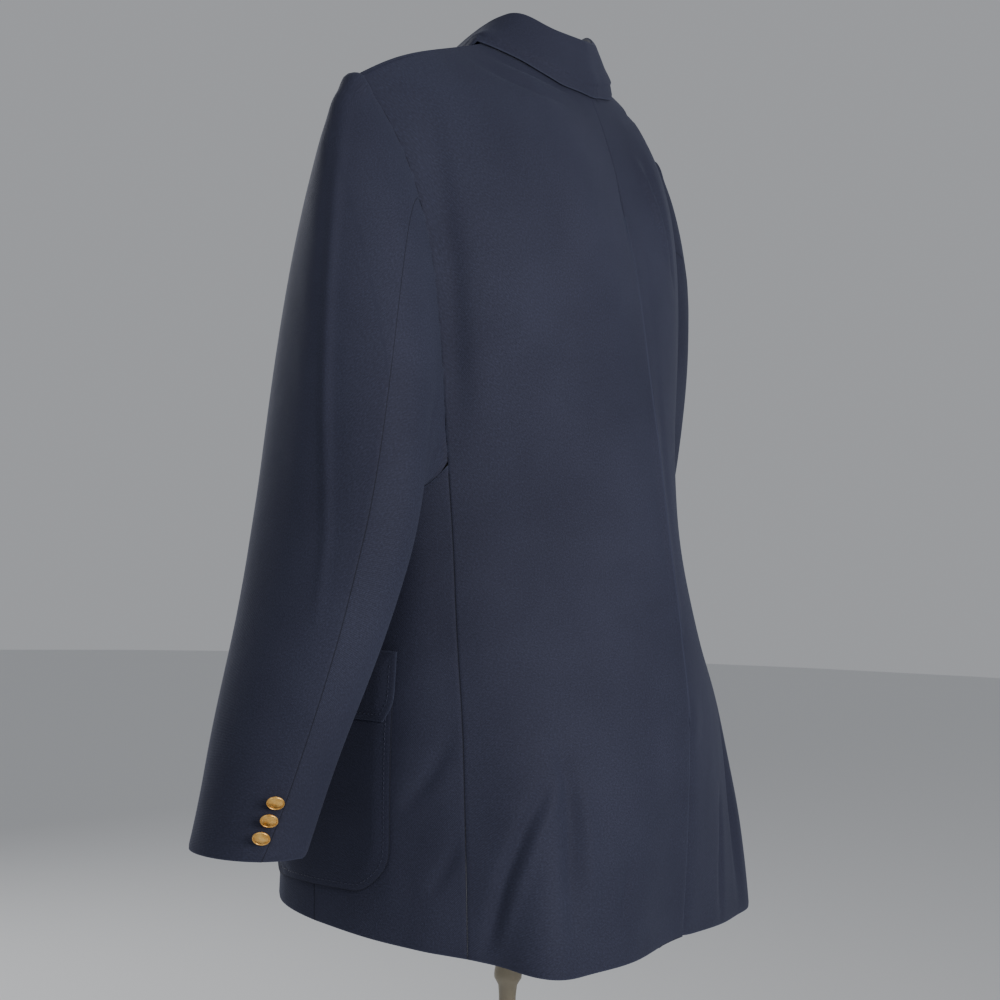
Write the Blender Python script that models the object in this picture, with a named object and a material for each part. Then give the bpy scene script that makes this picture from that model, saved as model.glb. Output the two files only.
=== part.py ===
"""A navy blazer worn by a limbless dress form, every cut piece its own closed solid.

Metres, +Z up. The origin is on the floor under the stand's pole. The wearer faces -Y,
so the wearer's left is +X. Shapes are worked out for the left half and mirrored.
"""
import math

import bmesh
import bpy
from mathutils import Vector
from mathutils.bvhtree import BVHTree

# Cloth and seams
CLOTH = 0.0022
SEAM_GAP = 0.0004
SEAM_REACH = 0.0040
LAID_GAP = 0.0006
NEAR_ENOUGH = 0.03
LAP_DROP = 0.0030
FRONT_DROP = 0.0044
LAP_X = 0.034
LAP_TURN = 0.012
LAP_FRONT_Y = -0.05

# Body of the blazer
SHOULDER_TIP = Vector((0.220, -0.013, 1.384))
NECK_SIDE = Vector((0.082, 0.004, 1.430))
NAPE = Vector((0.0, 0.050, 1.408))
GORGE = Vector((0.060, -0.078, 1.372))
BREAK_Z = 1.062
BELOW_BREAK = 0.030
SHOULDER_PAD = 0.006
BASE_Z = 1.100
UNDERARM_DROP = 0.022
VENT_TOP_Z = 0.930
VENT_LAP = 0.040
VENT_LAP_PER_PLACE = 0.15

# How finely the pieces are divided
NECK_COLUMNS = 5
SHOULDER_COLUMNS = 7
OPENING_COLUMNS = 8
LOWER_ROWS = 15
UPPER_ROWS = 9
ARMHOLE_STEPS = 12
SHOULDER_SLOPE = 0.326

# Where the seams and edges lie on a ring: 0 at the centre back, 5 at the centre front
CENTRE_BACK = 0.0
SIDE_BACK = 2.0
SIDE_FRONT = 3.5
NECK_BACK = 0.8
NECK_FRONT = 4.2
GORGE_PLACE = 4.45
FRONT_EDGE = 5.12
PER_PLACE = 0.105

# Rings of the left half, hem to underarm. A row gives the height, then where the ring
# passes the centre back, the back's corner, the side-back seam, the side, the breast
# and the centre front.
RING_COLUMNS = ("z", "back_y", "corner_x", "corner_y", "seam_x", "seam_y",
                "side_x", "side_y", "breast_x", "breast_y", "front_y")
RINGS = (
    (0.735, 0.161, 0.147, 0.149, 0.179, 0.077, 0.203, 0.010, 0.178, -0.104, -0.180),
    (0.820, 0.163, 0.140, 0.136, 0.180, 0.073, 0.205, 0.006, 0.178, -0.102, -0.178),
    (0.910, 0.161, 0.130, 0.118, 0.178, 0.066, 0.202, 0.004, 0.174, -0.099, -0.171),
    (0.980, 0.150, 0.122, 0.095, 0.170, 0.053, 0.192, 0.002, 0.164, -0.096, -0.160),
    (1.040, 0.138, 0.118, 0.078, 0.164, 0.044, 0.184, 0.000, 0.158, -0.094, -0.153),
    (1.100, 0.128, 0.120, 0.076, 0.168, 0.040, 0.188, -0.004, 0.156, -0.094, -0.156),
)

# The way the cloth runs at its upper edge: the back at its centre, at the side of the
# neck and at the shoulder's tip, and the front at the tip, the neck and the front edge
BACK_TOP_PULLS = (Vector((0.0, -0.45, 0.89)), Vector((0.0, -0.88, 0.47)), Vector((0.34, -0.55, 0.76)))
FRONT_TOP_PULLS = (Vector((0.34, 0.50, 0.78)), Vector((0.0, 0.85, 0.52)), Vector((0.0, 0.30, 0.95)))
UPPER_REACH = 1.05

# How far the hem lies above the lowest ring, at each of the ring's six places
HEM_RISE = (0.000, -0.006, 0.004, 0.012, 0.026, 0.034)
FRONT_CORNER = 0.045
FRONT_CORNER_PLACE = 4.62

# Soft folds that hang in the cloth: side +1 is the wearer's left. Each runs from its
# top to its foot, place by place on the ring, and is a trough where depth is negative.
FOLD_COLUMNS = ("side", "top_z", "top_place", "foot_z", "foot_place", "width", "depth")
FOLDS = (
    (1, 0.875, 0.85, 0.735, 0.78, 0.34, -0.0060),
    (1, 0.860, 0.62, 0.735, 0.55, 0.26, 0.0040),
    (1, 0.850, 1.15, 0.760, 1.62, 0.26, -0.0045),
    (1, 0.940, 0.16, 0.735, 0.20, 0.12, -0.0030),
    (-1, 0.900, 0.70, 0.735, 0.75, 0.34, -0.0060),
    (-1, 0.880, 1.25, 0.740, 1.35, 0.30, 0.0050),
    (1, 0.900, 2.35, 0.760, 2.70, 0.30, -0.0045),
    (-1, 0.900, 2.40, 0.760, 2.60, 0.30, -0.0045),
    (1, 1.020, 4.10, 0.780, 4.20, 0.35, -0.0040),
    (-1, 1.010, 4.20, 0.780, 4.10, 0.35, -0.0040),
)

# Sleeves. Rows from the upper arm to the cuff: the middle of the sleeve, its half
# width across and from front to back, and the angle of the seam down its back. The
# right sleeve hangs further in and further ahead by the last two columns.
SLEEVE_COLUMNS = ("z", "mid_x", "mid_y", "half_x", "half_y", "seam_deg", "right_in", "right_ahead")
SLEEVE_ROWS = (
    (1.030, 0.254, -0.003, 0.045, 0.066, 48.0, 0.016, 0.056),
    (0.985, 0.261, -0.010, 0.044, 0.062, 50.0, 0.014, 0.055),
    (0.940, 0.269, -0.019, 0.042, 0.058, 52.0, 0.012, 0.052),
    (0.895, 0.276, -0.029, 0.040, 0.053, 54.0, 0.012, 0.048),
    (0.855, 0.282, -0.036, 0.038, 0.049, 52.0, 0.012, 0.044),
    (0.820, 0.287, -0.043, 0.037, 0.047, 46.0, 0.012, 0.040),
)
FRONT_SEAM_DEG = -112.0
BACK_SEAM_TOP_DEG = 54.0
SLEEVE_HEAD = 0.60
SLEEVE_ARRIVES = 0.9
SLEEVE_PARTS = (0.0, 0.06)
SLEEVE_PIECES = (("sleeve_top_", 12), ("sleeve_under_", 8))
SLEEVE_MEAN_RADIUS = 0.045
ARMHOLE_GAP = 0.0006

# Collar stations, centre back to gorge: along the neckline, where the fold stands and
# where the edge of the fall comes to lie
COLLAR_COLUMNS = ("along", "fold_x", "fold_y", "fold_z", "edge_x", "edge_y", "edge_z")
COLLAR_ROWS = (
    (0.00, 0.000, 0.046, 1.440, 0.000, 0.064, 1.398),
    (0.25, 0.031, 0.037, 1.444, 0.047, 0.050, 1.406),
    (0.50, 0.055, 0.014, 1.455, 0.086, 0.012, 1.428),
    (0.70, 0.066, -0.018, 1.438, 0.098, -0.026, 1.412),
    (0.86, 0.068, -0.052, 1.410, 0.100, -0.056, 1.395),
    (1.00, 0.064, -0.078, 1.380, 0.095, -0.079, 1.378),
)
COLLAR_ROLL = 0.0034
COLLAR_COLUMNS_ROUND = 32
COLLAR_BELLY = 0.001

# Lapels: where they end at the gorge, how wide they are, how high up the widest point
# lies, how much the notch takes off, and how far up the front each one starts
LAPEL_TOP_PLACE = 4.462
LAPEL_WIDTH = 0.088
LAPEL_WIDEST = 0.86
LAPEL_NOTCH = 0.030
LAPEL_ROLL = 0.0025
LAPEL_STARTS = {1: 0.27, -1: 0.05}
LAPEL_ROWS = 14
LAPEL_COLUMNS = 5

# Pockets on the fronts, by place on the ring and height
POCKET_BACK = 2.80
POCKET_FRONT = 4.16
POCKET_TOP_Z = 0.945
POCKET_FOOT_Z = 0.782
FLAP_TOP_Z = 0.962
FLAP_FOOT_Z = 0.910
FLAP_WIDER = 0.03
POCKET_CORNER = 0.030
FLAP_CORNER = 0.012

# Buttons
SLEEVE_BUTTON_RADIUS = 0.0064
FRONT_BUTTON_RADIUS = 0.0100
FRONT_BUTTON_Z = (1.048, 0.955)
SLEEVE_BUTTON_Z = (0.8640, 0.8514, 0.8388)
BUTTONS_BEFORE_SEAM_DEG = 10.5

# A button's outline from its underside to its crown, radius then height, both as shares
# of the button's radius
BUTTON_PROFILE = (
    (0.00, 0.000), (0.55, 0.000), (0.94, 0.126), (1.00, 0.260),
    (0.93, 0.353), (0.82, 0.311), (0.45, 0.412), (0.00, 0.445),
)

# Dress form, its pole and its base
FORM_COLUMNS = ("z", "half_width", "back_y", "front_y")
FORM_ROWS = (
    (0.800, 0.120, 0.090, -0.090),
    (0.815, 0.142, 0.105, -0.105),
    (0.880, 0.152, 0.112, -0.112),
    (0.960, 0.138, 0.094, -0.100),
    (1.040, 0.120, 0.072, -0.092),
    (1.120, 0.136, 0.066, -0.112),
    (1.200, 0.150, 0.070, -0.116),
    (1.280, 0.160, 0.064, -0.090),
    (1.340, 0.170, 0.046, -0.062),
    (1.370, 0.172, 0.052, -0.055),
    (1.390, 0.160, 0.040, -0.048),
    (1.403, 0.142, 0.037, -0.045),
    (1.413, 0.112, 0.035, -0.046),
    (1.421, 0.080, 0.034, -0.047),
    (1.430, 0.050, 0.028, -0.047),
    (1.446, 0.044, 0.026, -0.044),
)
FORM_GAP = 0.0008
FORM_STEPS = 36
POLE_RADIUS = 0.0070
SOCKET_RADIUS = 0.0115
SOCKET_Z = 0.676
BASE_RADIUS = 0.170
BASE_HEIGHT = 0.018


def clear_scene():
    for old in list(bpy.data.objects):
        bpy.data.objects.remove(old, do_unlink=True)


def make_material(name, colour, roughness, metallic=0.0):
    material = bpy.data.materials.new(name)
    material.use_nodes = True
    shader = material.node_tree.nodes["Principled BSDF"]
    shader.inputs["Base Color"].default_value = (*colour, 1.0)
    shader.inputs["Roughness"].default_value = roughness
    shader.inputs["Metallic"].default_value = metallic
    return material


def smooth_step(value):
    value = min(max(value, 0.0), 1.0)
    return value * value * (3.0 - 2.0 * value)


def through(values, place):
    """A smooth curve through evenly spaced values, read at a place from 0 to the last."""
    last = len(values) - 1
    place = min(max(place, 0.0), float(last))
    left = min(int(place), last - 1)
    part = place - left
    a = values[left - 1] if left > 0 else values[left] * 2.0 - values[left + 1]
    b = values[left]
    c = values[left + 1]
    d = values[left + 2] if left + 2 <= last else values[last] * 2.0 - values[last - 1]
    return (b * 2.0 + (c - a) * part + (a * 2.0 - b * 5.0 + c * 4.0 - d) * part ** 2
            + (b * 3.0 - a - c * 3.0 + d) * part ** 3) * 0.5


def row_place(rows, first_value):
    """The place between the rows of a table at which its first column has this value."""
    for index in range(len(rows) - 1):
        low, high = rows[index][0], rows[index + 1][0]
        if min(low, high) <= first_value <= max(low, high):
            return index + (first_value - low) / (high - low)
    nearer_start = abs(first_value - rows[0][0]) < abs(first_value - rows[-1][0])
    return 0.0 if nearer_start else float(len(rows) - 1)


def read_row(rows, columns, first_value):
    place = row_place(rows, first_value)
    return {name: through([row[i] for row in rows], place) for i, name in enumerate(columns)}


def bend(start, start_pull, end, end_pull, part):
    """A cubic from start to end that leaves and arrives along the two pulls."""
    a = 2.0 * part ** 3 - 3.0 * part ** 2 + 1.0
    b = part ** 3 - 2.0 * part ** 2 + part
    c = -2.0 * part ** 3 + 3.0 * part ** 2
    d = part ** 3 - part ** 2
    return start * a + start_pull * b + end * c + end_pull * d


def fold_depth(side, place, z):
    total = 0.0
    for row in FOLDS:
        fold = dict(zip(FOLD_COLUMNS, row))
        if fold["side"] != side:
            continue
        down = (fold["top_z"] - z) / (fold["top_z"] - fold["foot_z"])
        if down <= 0.0:
            continue
        middle = fold["top_place"] + (fold["foot_place"] - fold["top_place"]) * min(down, 1.1)
        across = (place - middle) / fold["width"]
        total += fold["depth"] * smooth_step(down * 1.6) * math.exp(-2.5 * across * across)
    return total


def plain_ring_point(place, z):
    """A point of the left half's ring, before any fold."""
    ring = read_row(RINGS, RING_COLUMNS, z)
    keys = [
        Vector((-ring["corner_x"], ring["corner_y"], z)),
        Vector((0.0, ring["back_y"], z)),
        Vector((ring["corner_x"], ring["corner_y"], z)),
        Vector((ring["seam_x"], ring["seam_y"], z)),
        Vector((ring["side_x"], ring["side_y"], z)),
        Vector((ring["breast_x"], ring["breast_y"], z)),
        Vector((0.0, ring["front_y"], z)),
        Vector((-ring["breast_x"], ring["breast_y"], z)),
    ]
    return through(keys, place + 1.0)


def ring_point(side, place, z):
    point = plain_ring_point(place, z)
    depth = fold_depth(side, place, z) if place >= 0.0 else fold_depth(-side, -place, z)
    if depth:
        along = plain_ring_point(place + 0.02, z) - plain_ring_point(place - 0.02, z)
        outward = Vector((-along.y, along.x, 0.0)).normalized()
        if outward.x * point.x + outward.y * point.y < 0.0:
            outward.negate()
        point = point + outward * depth
    return point


def shoulder_ridge(part):
    """The shoulder seam from the neck out to the tip, raised a little by its pad."""
    pad = Vector((0.0, 0.0, SHOULDER_PAD)) * math.sin(math.pi * part ** 1.5)
    return NECK_SIDE.lerp(SHOULDER_TIP, part) + pad


def top_edge(place):
    """The upper edge of the back and of the front: neckline, shoulder seam, roll line."""
    if place <= NECK_BACK:
        part = place / NECK_BACK
        bow = Vector((0.010, 0.008, -0.004)) * math.sin(math.pi * part)
        return NAPE.lerp(NECK_SIDE, part) + bow
    if place <= SIDE_BACK:
        return shoulder_ridge((place - NECK_BACK) / (SIDE_BACK - NECK_BACK))
    if place <= NECK_FRONT:
        return shoulder_ridge((NECK_FRONT - place) / (NECK_FRONT - SIDE_FRONT))
    if place <= GORGE_PLACE:
        return NECK_SIDE.lerp(GORGE, (place - NECK_FRONT) / (GORGE_PLACE - NECK_FRONT))
    breaking = ring_point(1, FRONT_EDGE, BREAK_Z)
    return GORGE.lerp(breaking, (place - GORGE_PLACE) / (FRONT_EDGE - GORGE_PLACE))


def top_pull(place):
    """The way the cloth runs as it reaches its upper edge."""
    if place <= NECK_BACK:
        return through(BACK_TOP_PULLS, place / NECK_BACK)
    if place <= SIDE_BACK:
        return through(BACK_TOP_PULLS, 1.0 + (place - NECK_BACK) / (SIDE_BACK - NECK_BACK))
    return through(FRONT_TOP_PULLS, (place - SIDE_FRONT) / (NECK_FRONT - SIDE_FRONT))


def base_height(place):
    """Where the rings end and the cloth starts to turn in to its upper edge."""
    if place <= NECK_FRONT:
        return BASE_Z
    down = smooth_step((place - NECK_FRONT) / (FRONT_EDGE - NECK_FRONT))
    return BASE_Z + (BREAK_Z - BELOW_BREAK - BASE_Z) * down


def upper_point(side, place, part):
    low = base_height(place)
    start = ring_point(side, place, low)
    rise = (start - ring_point(side, place, low - 0.01)) / 0.01
    end = top_edge(place)
    reach = (end - start).length * UPPER_REACH
    return bend(start, rise.normalized() * reach, end, top_pull(place).normalized() * reach, part)


def hem_height(place):
    rise = through(list(HEM_RISE) + [HEM_RISE[-2]], place)
    near_edge = (place - FRONT_CORNER_PLACE) / (FRONT_EDGE - FRONT_CORNER_PLACE)
    return RINGS[0][0] + rise + FRONT_CORNER * max(near_edge, 0.0) ** 3


def mirrored(grid, side):
    return [[Vector((point.x * side, point.y, point.z)) for point in row] for row in grid]


def spread(start, end, steps):
    return [start + (end - start) * index / steps for index in range(steps + 1)]


def seam_inset(places):
    """Pulls a piece's first and last places in from its seams by half the seam gap."""
    inset = 0.5 * SEAM_GAP / PER_PLACE
    return [places[0] + inset] + list(places[1:-1]) + [places[-1] - inset]


def grid_normals(grid):
    rows, columns = len(grid), len(grid[0])
    normals = []
    for r in range(rows):
        line = []
        for c in range(columns):
            up = grid[min(r + 1, rows - 1)][c] - grid[max(r - 1, 0)][c]
            across = grid[r][min(c + 1, columns - 1)] - grid[r][max(c - 1, 0)]
            normal = across.cross(up)
            line.append(normal.normalized() if normal.length > 1e-12 else Vector((0, 0, 1)))
        normals.append(line)
    return normals


class Piece:
    """A cut piece: the grid of its outer face, the way out of it, and the cells it has."""

    def __init__(self, name, grid, material, outward, keep=None, wall=CLOTH):
        self.name = name
        self.grid = grid
        self.material = material
        self.wall = wall
        self.keep = keep or (lambda row, column: True)
        self.normals = grid_normals(grid)
        middle_row, middle_column = len(grid) // 2, len(grid[0]) // 2
        if self.normals[middle_row][middle_column].dot(outward) < 0.0:
            self.normals = [[-normal for normal in line] for line in self.normals]

    def border(self):
        rows, columns = len(self.grid), len(self.grid[0])
        for r in range(rows):
            for c in range(columns):
                if r in (0, rows - 1) or c in (0, columns - 1):
                    yield r, c

    def cells(self):
        for r in range(len(self.grid) - 1):
            for c in range(len(self.grid[0]) - 1):
                if self.keep(r, c):
                    yield ((r, c), (r, c + 1), (r + 1, c + 1), (r + 1, c))

    def build(self):
        mesh = bmesh.new()
        outer, inner = {}, {}
        cells = list(self.cells())
        for cell in cells:
            for key in cell:
                if key not in outer:
                    point = self.grid[key[0]][key[1]]
                    normal = self.normals[key[0]][key[1]]
                    outer[key] = mesh.verts.new(point)
                    inner[key] = mesh.verts.new(point - normal * self.wall)
        edges = {}
        for cell in cells:
            mesh.faces.new([outer[key] for key in cell])
            mesh.faces.new([inner[key] for key in reversed(cell)])
            for start, end in zip(cell, cell[1:] + cell[:1]):
                edges[(start, end)] = True
        for start, end in edges:
            if (end, start) not in edges:
                mesh.faces.new((outer[end], outer[start], inner[start], inner[end]))
        return finish_object(self.name, mesh, self.material)


def finish_object(name, mesh, material, sharp_angle=40.0):
    bmesh.ops.recalc_face_normals(mesh, faces=mesh.faces)
    data = bpy.data.meshes.new(name)
    mesh.to_mesh(data)
    mesh.free()
    data.materials.append(material)
    data.shade_smooth()
    data.set_sharp_from_angle(angle=math.radians(sharp_angle))
    made = bpy.data.objects.new(name, data)
    bpy.context.scene.collection.objects.link(made)
    return made


def agree_at_seams(pieces):
    """Two pieces that meet at a seam share the way their walls go in, so none cross."""
    edge_points = [(piece, r, c) for piece in pieces for r, c in piece.border()]
    shared = {}
    for piece, r, c in edge_points:
        total = Vector(piece.normals[r][c])
        for other, i, j in edge_points:
            if other is piece:
                continue
            if (other.grid[i][j] - piece.grid[r][c]).length < SEAM_REACH:
                total += other.normals[i][j]
        shared[(piece.name, r, c)] = total.normalized()
    for piece, r, c in edge_points:
        piece.normals[r][c] = shared[(piece.name, r, c)]


def lay_shoulders(pieces, at_end):
    """The walls along the shoulder seam go straight in from the ridge."""
    across = SHOULDER_COLUMNS
    for piece in pieces:
        side = 1.0 if piece.grid[-1][-1].x > 0.0 else -1.0
        ridge = Vector((SHOULDER_SLOPE * side, 0.0, 1.0)).normalized()
        columns = len(piece.grid[0])
        span = range(columns - across - 1, columns - 1) if at_end else range(1, across + 1)
        for c in span:
            piece.normals[-1][c] = Vector(ridge)


def tall_grid(side, places, bottoms):
    """Rows of points from the hem up the rings and on to the upper edge."""
    upper_length = 0.3
    top_part = 1.0 - 0.5 * SEAM_GAP / upper_length
    grid = []
    for index in range(LOWER_ROWS):
        part = index / LOWER_ROWS
        grid.append([ring_point(side, place, low + (base_height(place) - low) * part)
                     for place, low in zip(places, bottoms)])
    for index in range(UPPER_ROWS + 1):
        part = top_part * index / UPPER_ROWS
        grid.append([upper_point(side, place, part) for place in places])
    return grid


def make_back(side, cloth):
    """One half of the back. The left laps over the right at the vent."""
    name = "back_left" if side > 0 else "back_right"
    across_neck = spread(CENTRE_BACK, NECK_BACK, NECK_COLUMNS)
    places = seam_inset(across_neck + spread(NECK_BACK, SIDE_BACK, SHOULDER_COLUMNS)[1:])
    if side < 0:
        lap = [-VENT_LAP / VENT_LAP_PER_PLACE, -0.5 * VENT_LAP / VENT_LAP_PER_PLACE, -0.012]
        places = lap + [0.004, 0.06] + list(places[1:])
    bottoms = [hem_height(abs(place)) for place in places]
    grid = tall_grid(side, places, bottoms)
    if side > 0:
        return Piece(name, mirrored(grid, side), cloth, Vector((0.3, 1, 0)))
    vent_rows = [r for r in range(LOWER_ROWS) if grid[r][4].z < VENT_TOP_Z]
    top_row = max(vent_rows)
    normals = grid_normals(grid)
    for r in vent_rows[:-1]:
        for c in range(4):
            inward = normals[r][4] if normals[r][4].y < 0 else -normals[r][4]
            grid[r][c] = grid[r][c] + inward * LAP_DROP
    keep = lambda row, column: column >= 3 or row < top_row - 1
    return Piece(name, mirrored(grid, side), cloth, Vector((-0.3, 1, 0)), keep)


def side_top(place):
    """The height of the armhole's lowest stretch, across the top of the side panel."""
    dip = math.sin(math.pi * (place - SIDE_BACK) / (SIDE_FRONT - SIDE_BACK))
    return BASE_Z - UNDERARM_DROP * max(dip, 0.0) ** 0.8


def make_side(side, cloth):
    name = "side_left" if side > 0 else "side_right"
    places = seam_inset(spread(SIDE_BACK, SIDE_FRONT, SHOULDER_COLUMNS))
    grid = []
    for index in range(LOWER_ROWS + 1):
        line = []
        for place in places:
            high = side_top(place)
            low = hem_height(place)
            line.append(ring_point(side, place, low + (high - low) * index / LOWER_ROWS))
        grid.append(line)
    return Piece(name, mirrored(grid, side), cloth, Vector((side, 0, 0)))


def make_front(side, cloth):
    """One front. The right laps over the left, so the left dips under it."""
    name = "front_left" if side > 0 else "front_right"
    under_shoulder = spread(SIDE_FRONT, NECK_FRONT, SHOULDER_COLUMNS)
    places = seam_inset(under_shoulder + spread(NECK_FRONT, FRONT_EDGE, OPENING_COLUMNS)[1:])
    bottoms = [hem_height(place) for place in places]
    grid = tall_grid(side, places, bottoms)
    if side > 0:
        for row in grid:
            for c, point in enumerate(row):
                under = smooth_step((LAP_X - point.x) / LAP_TURN)
                if point.y < LAP_FRONT_Y:
                    row[c] = point + Vector((0.0, 1.0, 0.0)) * under * FRONT_DROP
    return Piece(name, mirrored(grid, side), cloth, Vector((0.2 * side, -1, 0)))


def clear_of(grid, surface, lift, rounds=6):
    """Moves a grid's points out until all of it lies the given height over a surface."""
    shares = (0.0, 0.34, 0.67, 1.0)
    for _ in range(rounds):
        moves = {}
        for r in range(len(grid) - 1):
            for c in range(len(grid[0]) - 1):
                for u in shares:
                    low = grid[r][c].lerp(grid[r][c + 1], u)
                    high = grid[r + 1][c].lerp(grid[r + 1][c + 1], u)
                    for v in shares:
                        point = low.lerp(high, v)
                        near, normal, _, gap = surface.find_nearest(point)
                        short = lift - (point - near).dot(normal)
                        if gap > NEAR_ENOUGH or short <= 0.0:
                            continue
                        for corner in ((r, c), (r, c + 1), (r + 1, c), (r + 1, c + 1)):
                            if moves.get(corner, (0.0, None))[0] < short:
                                moves[corner] = (short, normal)
        for (r, c), (short, normal) in moves.items():
            grid[r][c] = grid[r][c] + normal * short
        if not moves:
            break
    return grid


def panel_surface(pieces, facing=1.0):
    """One outer face made of several pieces, its normals facing out, or in with -1."""
    points, faces = [], []
    for piece in pieces:
        first = len(points)
        columns = len(piece.grid[0])
        points += [point for row in piece.grid for point in row]
        for cell in piece.cells():
            face = [first + r * columns + c for r, c in cell]
            edge = points[face[1]] - points[face[0]]
            rise = points[face[3]] - points[face[0]]
            if edge.cross(rise).dot(piece.normals[cell[0][0]][cell[0][1]]) * facing < 0.0:
                face.reverse()
            faces.append(face)
    return BVHTree.FromPolygons(points, faces)


def armscye(turn):
    """The left armhole's edge at a turn from 0 at the shoulder tip, back and round to 1."""
    steps = ARMHOLE_STEPS
    points = [upper_point(1, SIDE_BACK, 1.0 - index / steps) for index in range(steps + 1)]
    for place in spread(SIDE_BACK, SIDE_FRONT, 8)[1:-1]:
        points.append(ring_point(1, place, side_top(place)))
    points += [upper_point(1, SIDE_FRONT, index / steps) for index in range(steps + 1)]
    lengths = [0.0]
    for start, end in zip(points, points[1:]):
        lengths.append(lengths[-1] + (end - start).length)
    target = turn * lengths[-1]
    for index in range(len(points) - 1):
        if target <= lengths[index + 1]:
            share = (target - lengths[index]) / (lengths[index + 1] - lengths[index])
            return points[index].lerp(points[index + 1], share)
    return points[-1]


def sleeve_ring_point(side, angle, z):
    row = read_row(SLEEVE_ROWS, SLEEVE_COLUMNS, z)
    middle = Vector((row["mid_x"], row["mid_y"], z))
    if side < 0:
        middle -= Vector((row["right_in"], row["right_ahead"], 0.0))
    turn = math.radians(angle)
    return middle + Vector((row["half_x"] * math.cos(turn), row["half_y"] * math.sin(turn), 0.0))


def sleeve_point(side, angle, part):
    """A point of a sleeve, 0 at the armhole, 1 below the underarm, 2 at the cuff."""
    first_z, last_z = SLEEVE_ROWS[0][0], SLEEVE_ROWS[-1][0]
    if part >= 1.0:
        return sleeve_ring_point(side, angle, first_z + (last_z - first_z) * (part - 1.0))
    start = armscye((angle % 360.0) / 360.0)
    end = sleeve_ring_point(side, angle, first_z)
    turn = math.radians(angle)
    reach = (end - start).length
    out = Vector((0.80, 0.42 * math.sin(turn), 0.10 + 0.34 * math.cos(turn))).normalized()
    down = (sleeve_ring_point(side, angle, first_z - 0.01) - end).normalized()
    leaves, arrives = out * reach * SLEEVE_HEAD, down * reach * SLEEVE_ARRIVES
    return bend(start + out * ARMHOLE_GAP, leaves, end, arrives, part)


def seam_angle(part):
    if part <= 1.0:
        return BACK_SEAM_TOP_DEG + (SLEEVE_ROWS[0][5] - BACK_SEAM_TOP_DEG) * part
    first_z, last_z = SLEEVE_ROWS[0][0], SLEEVE_ROWS[-1][0]
    z = first_z + (last_z - first_z) * (part - 1.0)
    return read_row(SLEEVE_ROWS, SLEEVE_COLUMNS, z)["seam_deg"]


def make_sleeve(side, cloth):
    """Top sleeve and under sleeve, joined down the back and down the front."""
    made = []
    parts = list(SLEEVE_PARTS) + spread(0.15, 1.0, 7) + spread(1.0, 2.0, 9)[1:]
    gap_deg = math.degrees(0.5 * SEAM_GAP / SLEEVE_MEAN_RADIUS)
    hand = "left" if side > 0 else "right"
    for name, steps in SLEEVE_PIECES:
        grid = []
        for part in parts:
            seam = seam_angle(part)
            start, end = FRONT_SEAM_DEG, seam
            if name == "sleeve_under_":
                start, end = seam, FRONT_SEAM_DEG + 360.0
            angles = spread(start + gap_deg, end - gap_deg, steps)
            grid.append([sleeve_point(side, angle, part) for angle in angles])
        outward = Vector((side, 0, 0)) if name == "sleeve_top_" else Vector((-side, 0, 0))
        made.append(Piece(name + hand, mirrored(grid, side), cloth, outward))
    return made


def neckline(along):
    if along <= 0.5:
        return top_edge(2.0 * NECK_BACK * along)
    return top_edge(NECK_FRONT + (along - 0.5) * 2.0 * (GORGE_PLACE - NECK_FRONT))


def make_collar(bodies, cloth):
    """The collar stands round the neck, turns over its fold and falls on the shoulders."""
    surface = panel_surface(bodies)
    lift = CLOTH + LAID_GAP
    fall, stand = [], []
    steps = COLLAR_COLUMNS_ROUND
    for index in range(steps + 1):
        along = abs(-1.0 + 2.0 * index / steps)
        side = 1.0 if index > steps / 2 else -1.0
        row = read_row(COLLAR_ROWS, COLLAR_COLUMNS, along)
        fold = Vector((row["fold_x"], row["fold_y"], row["fold_z"]))
        edge = Vector((row["edge_x"], row["edge_y"], row["edge_z"]))
        base = neckline(along)
        away = Vector((edge.x - fold.x, edge.y - fold.y, 0.0)).normalized()
        near, normal, _, _ = surface.find_nearest(edge)
        edge = near + normal * lift
        outer, inner = fold + away * COLLAR_ROLL, fold - away * COLLAR_ROLL
        line = [edge]
        for share in (0.25, 0.5, 0.75, 0.94):
            point = edge.lerp(outer, share)
            point += (away + Vector((0, 0, 0.6))) * COLLAR_BELLY * math.sin(math.pi * share)
            line.append(point)
        fall.append(line)
        foot = base - away * 0.0014 + Vector((0, 0, 0.0016))
        line = [
            fold + away * COLLAR_ROLL * 0.75 + Vector((0, 0, COLLAR_ROLL * 0.66)),
            fold + Vector((0, 0, COLLAR_ROLL)),
            fold - away * COLLAR_ROLL * 0.75 + Vector((0, 0, COLLAR_ROLL * 0.6)),
        ]
        line += [inner.lerp(foot, share) for share in (0.12, 0.55, 1.0)]
        stand.append(line)
        for line in (fall[-1], stand[-1]):
            line[:] = [Vector((point.x * side, point.y, point.z)) for point in line]
    clear_of(fall, surface, lift)
    grid = [out + up for out, up in zip(fall, stand)]
    return Piece("collar", grid, cloth, Vector((0, 0, 1)))


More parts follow.
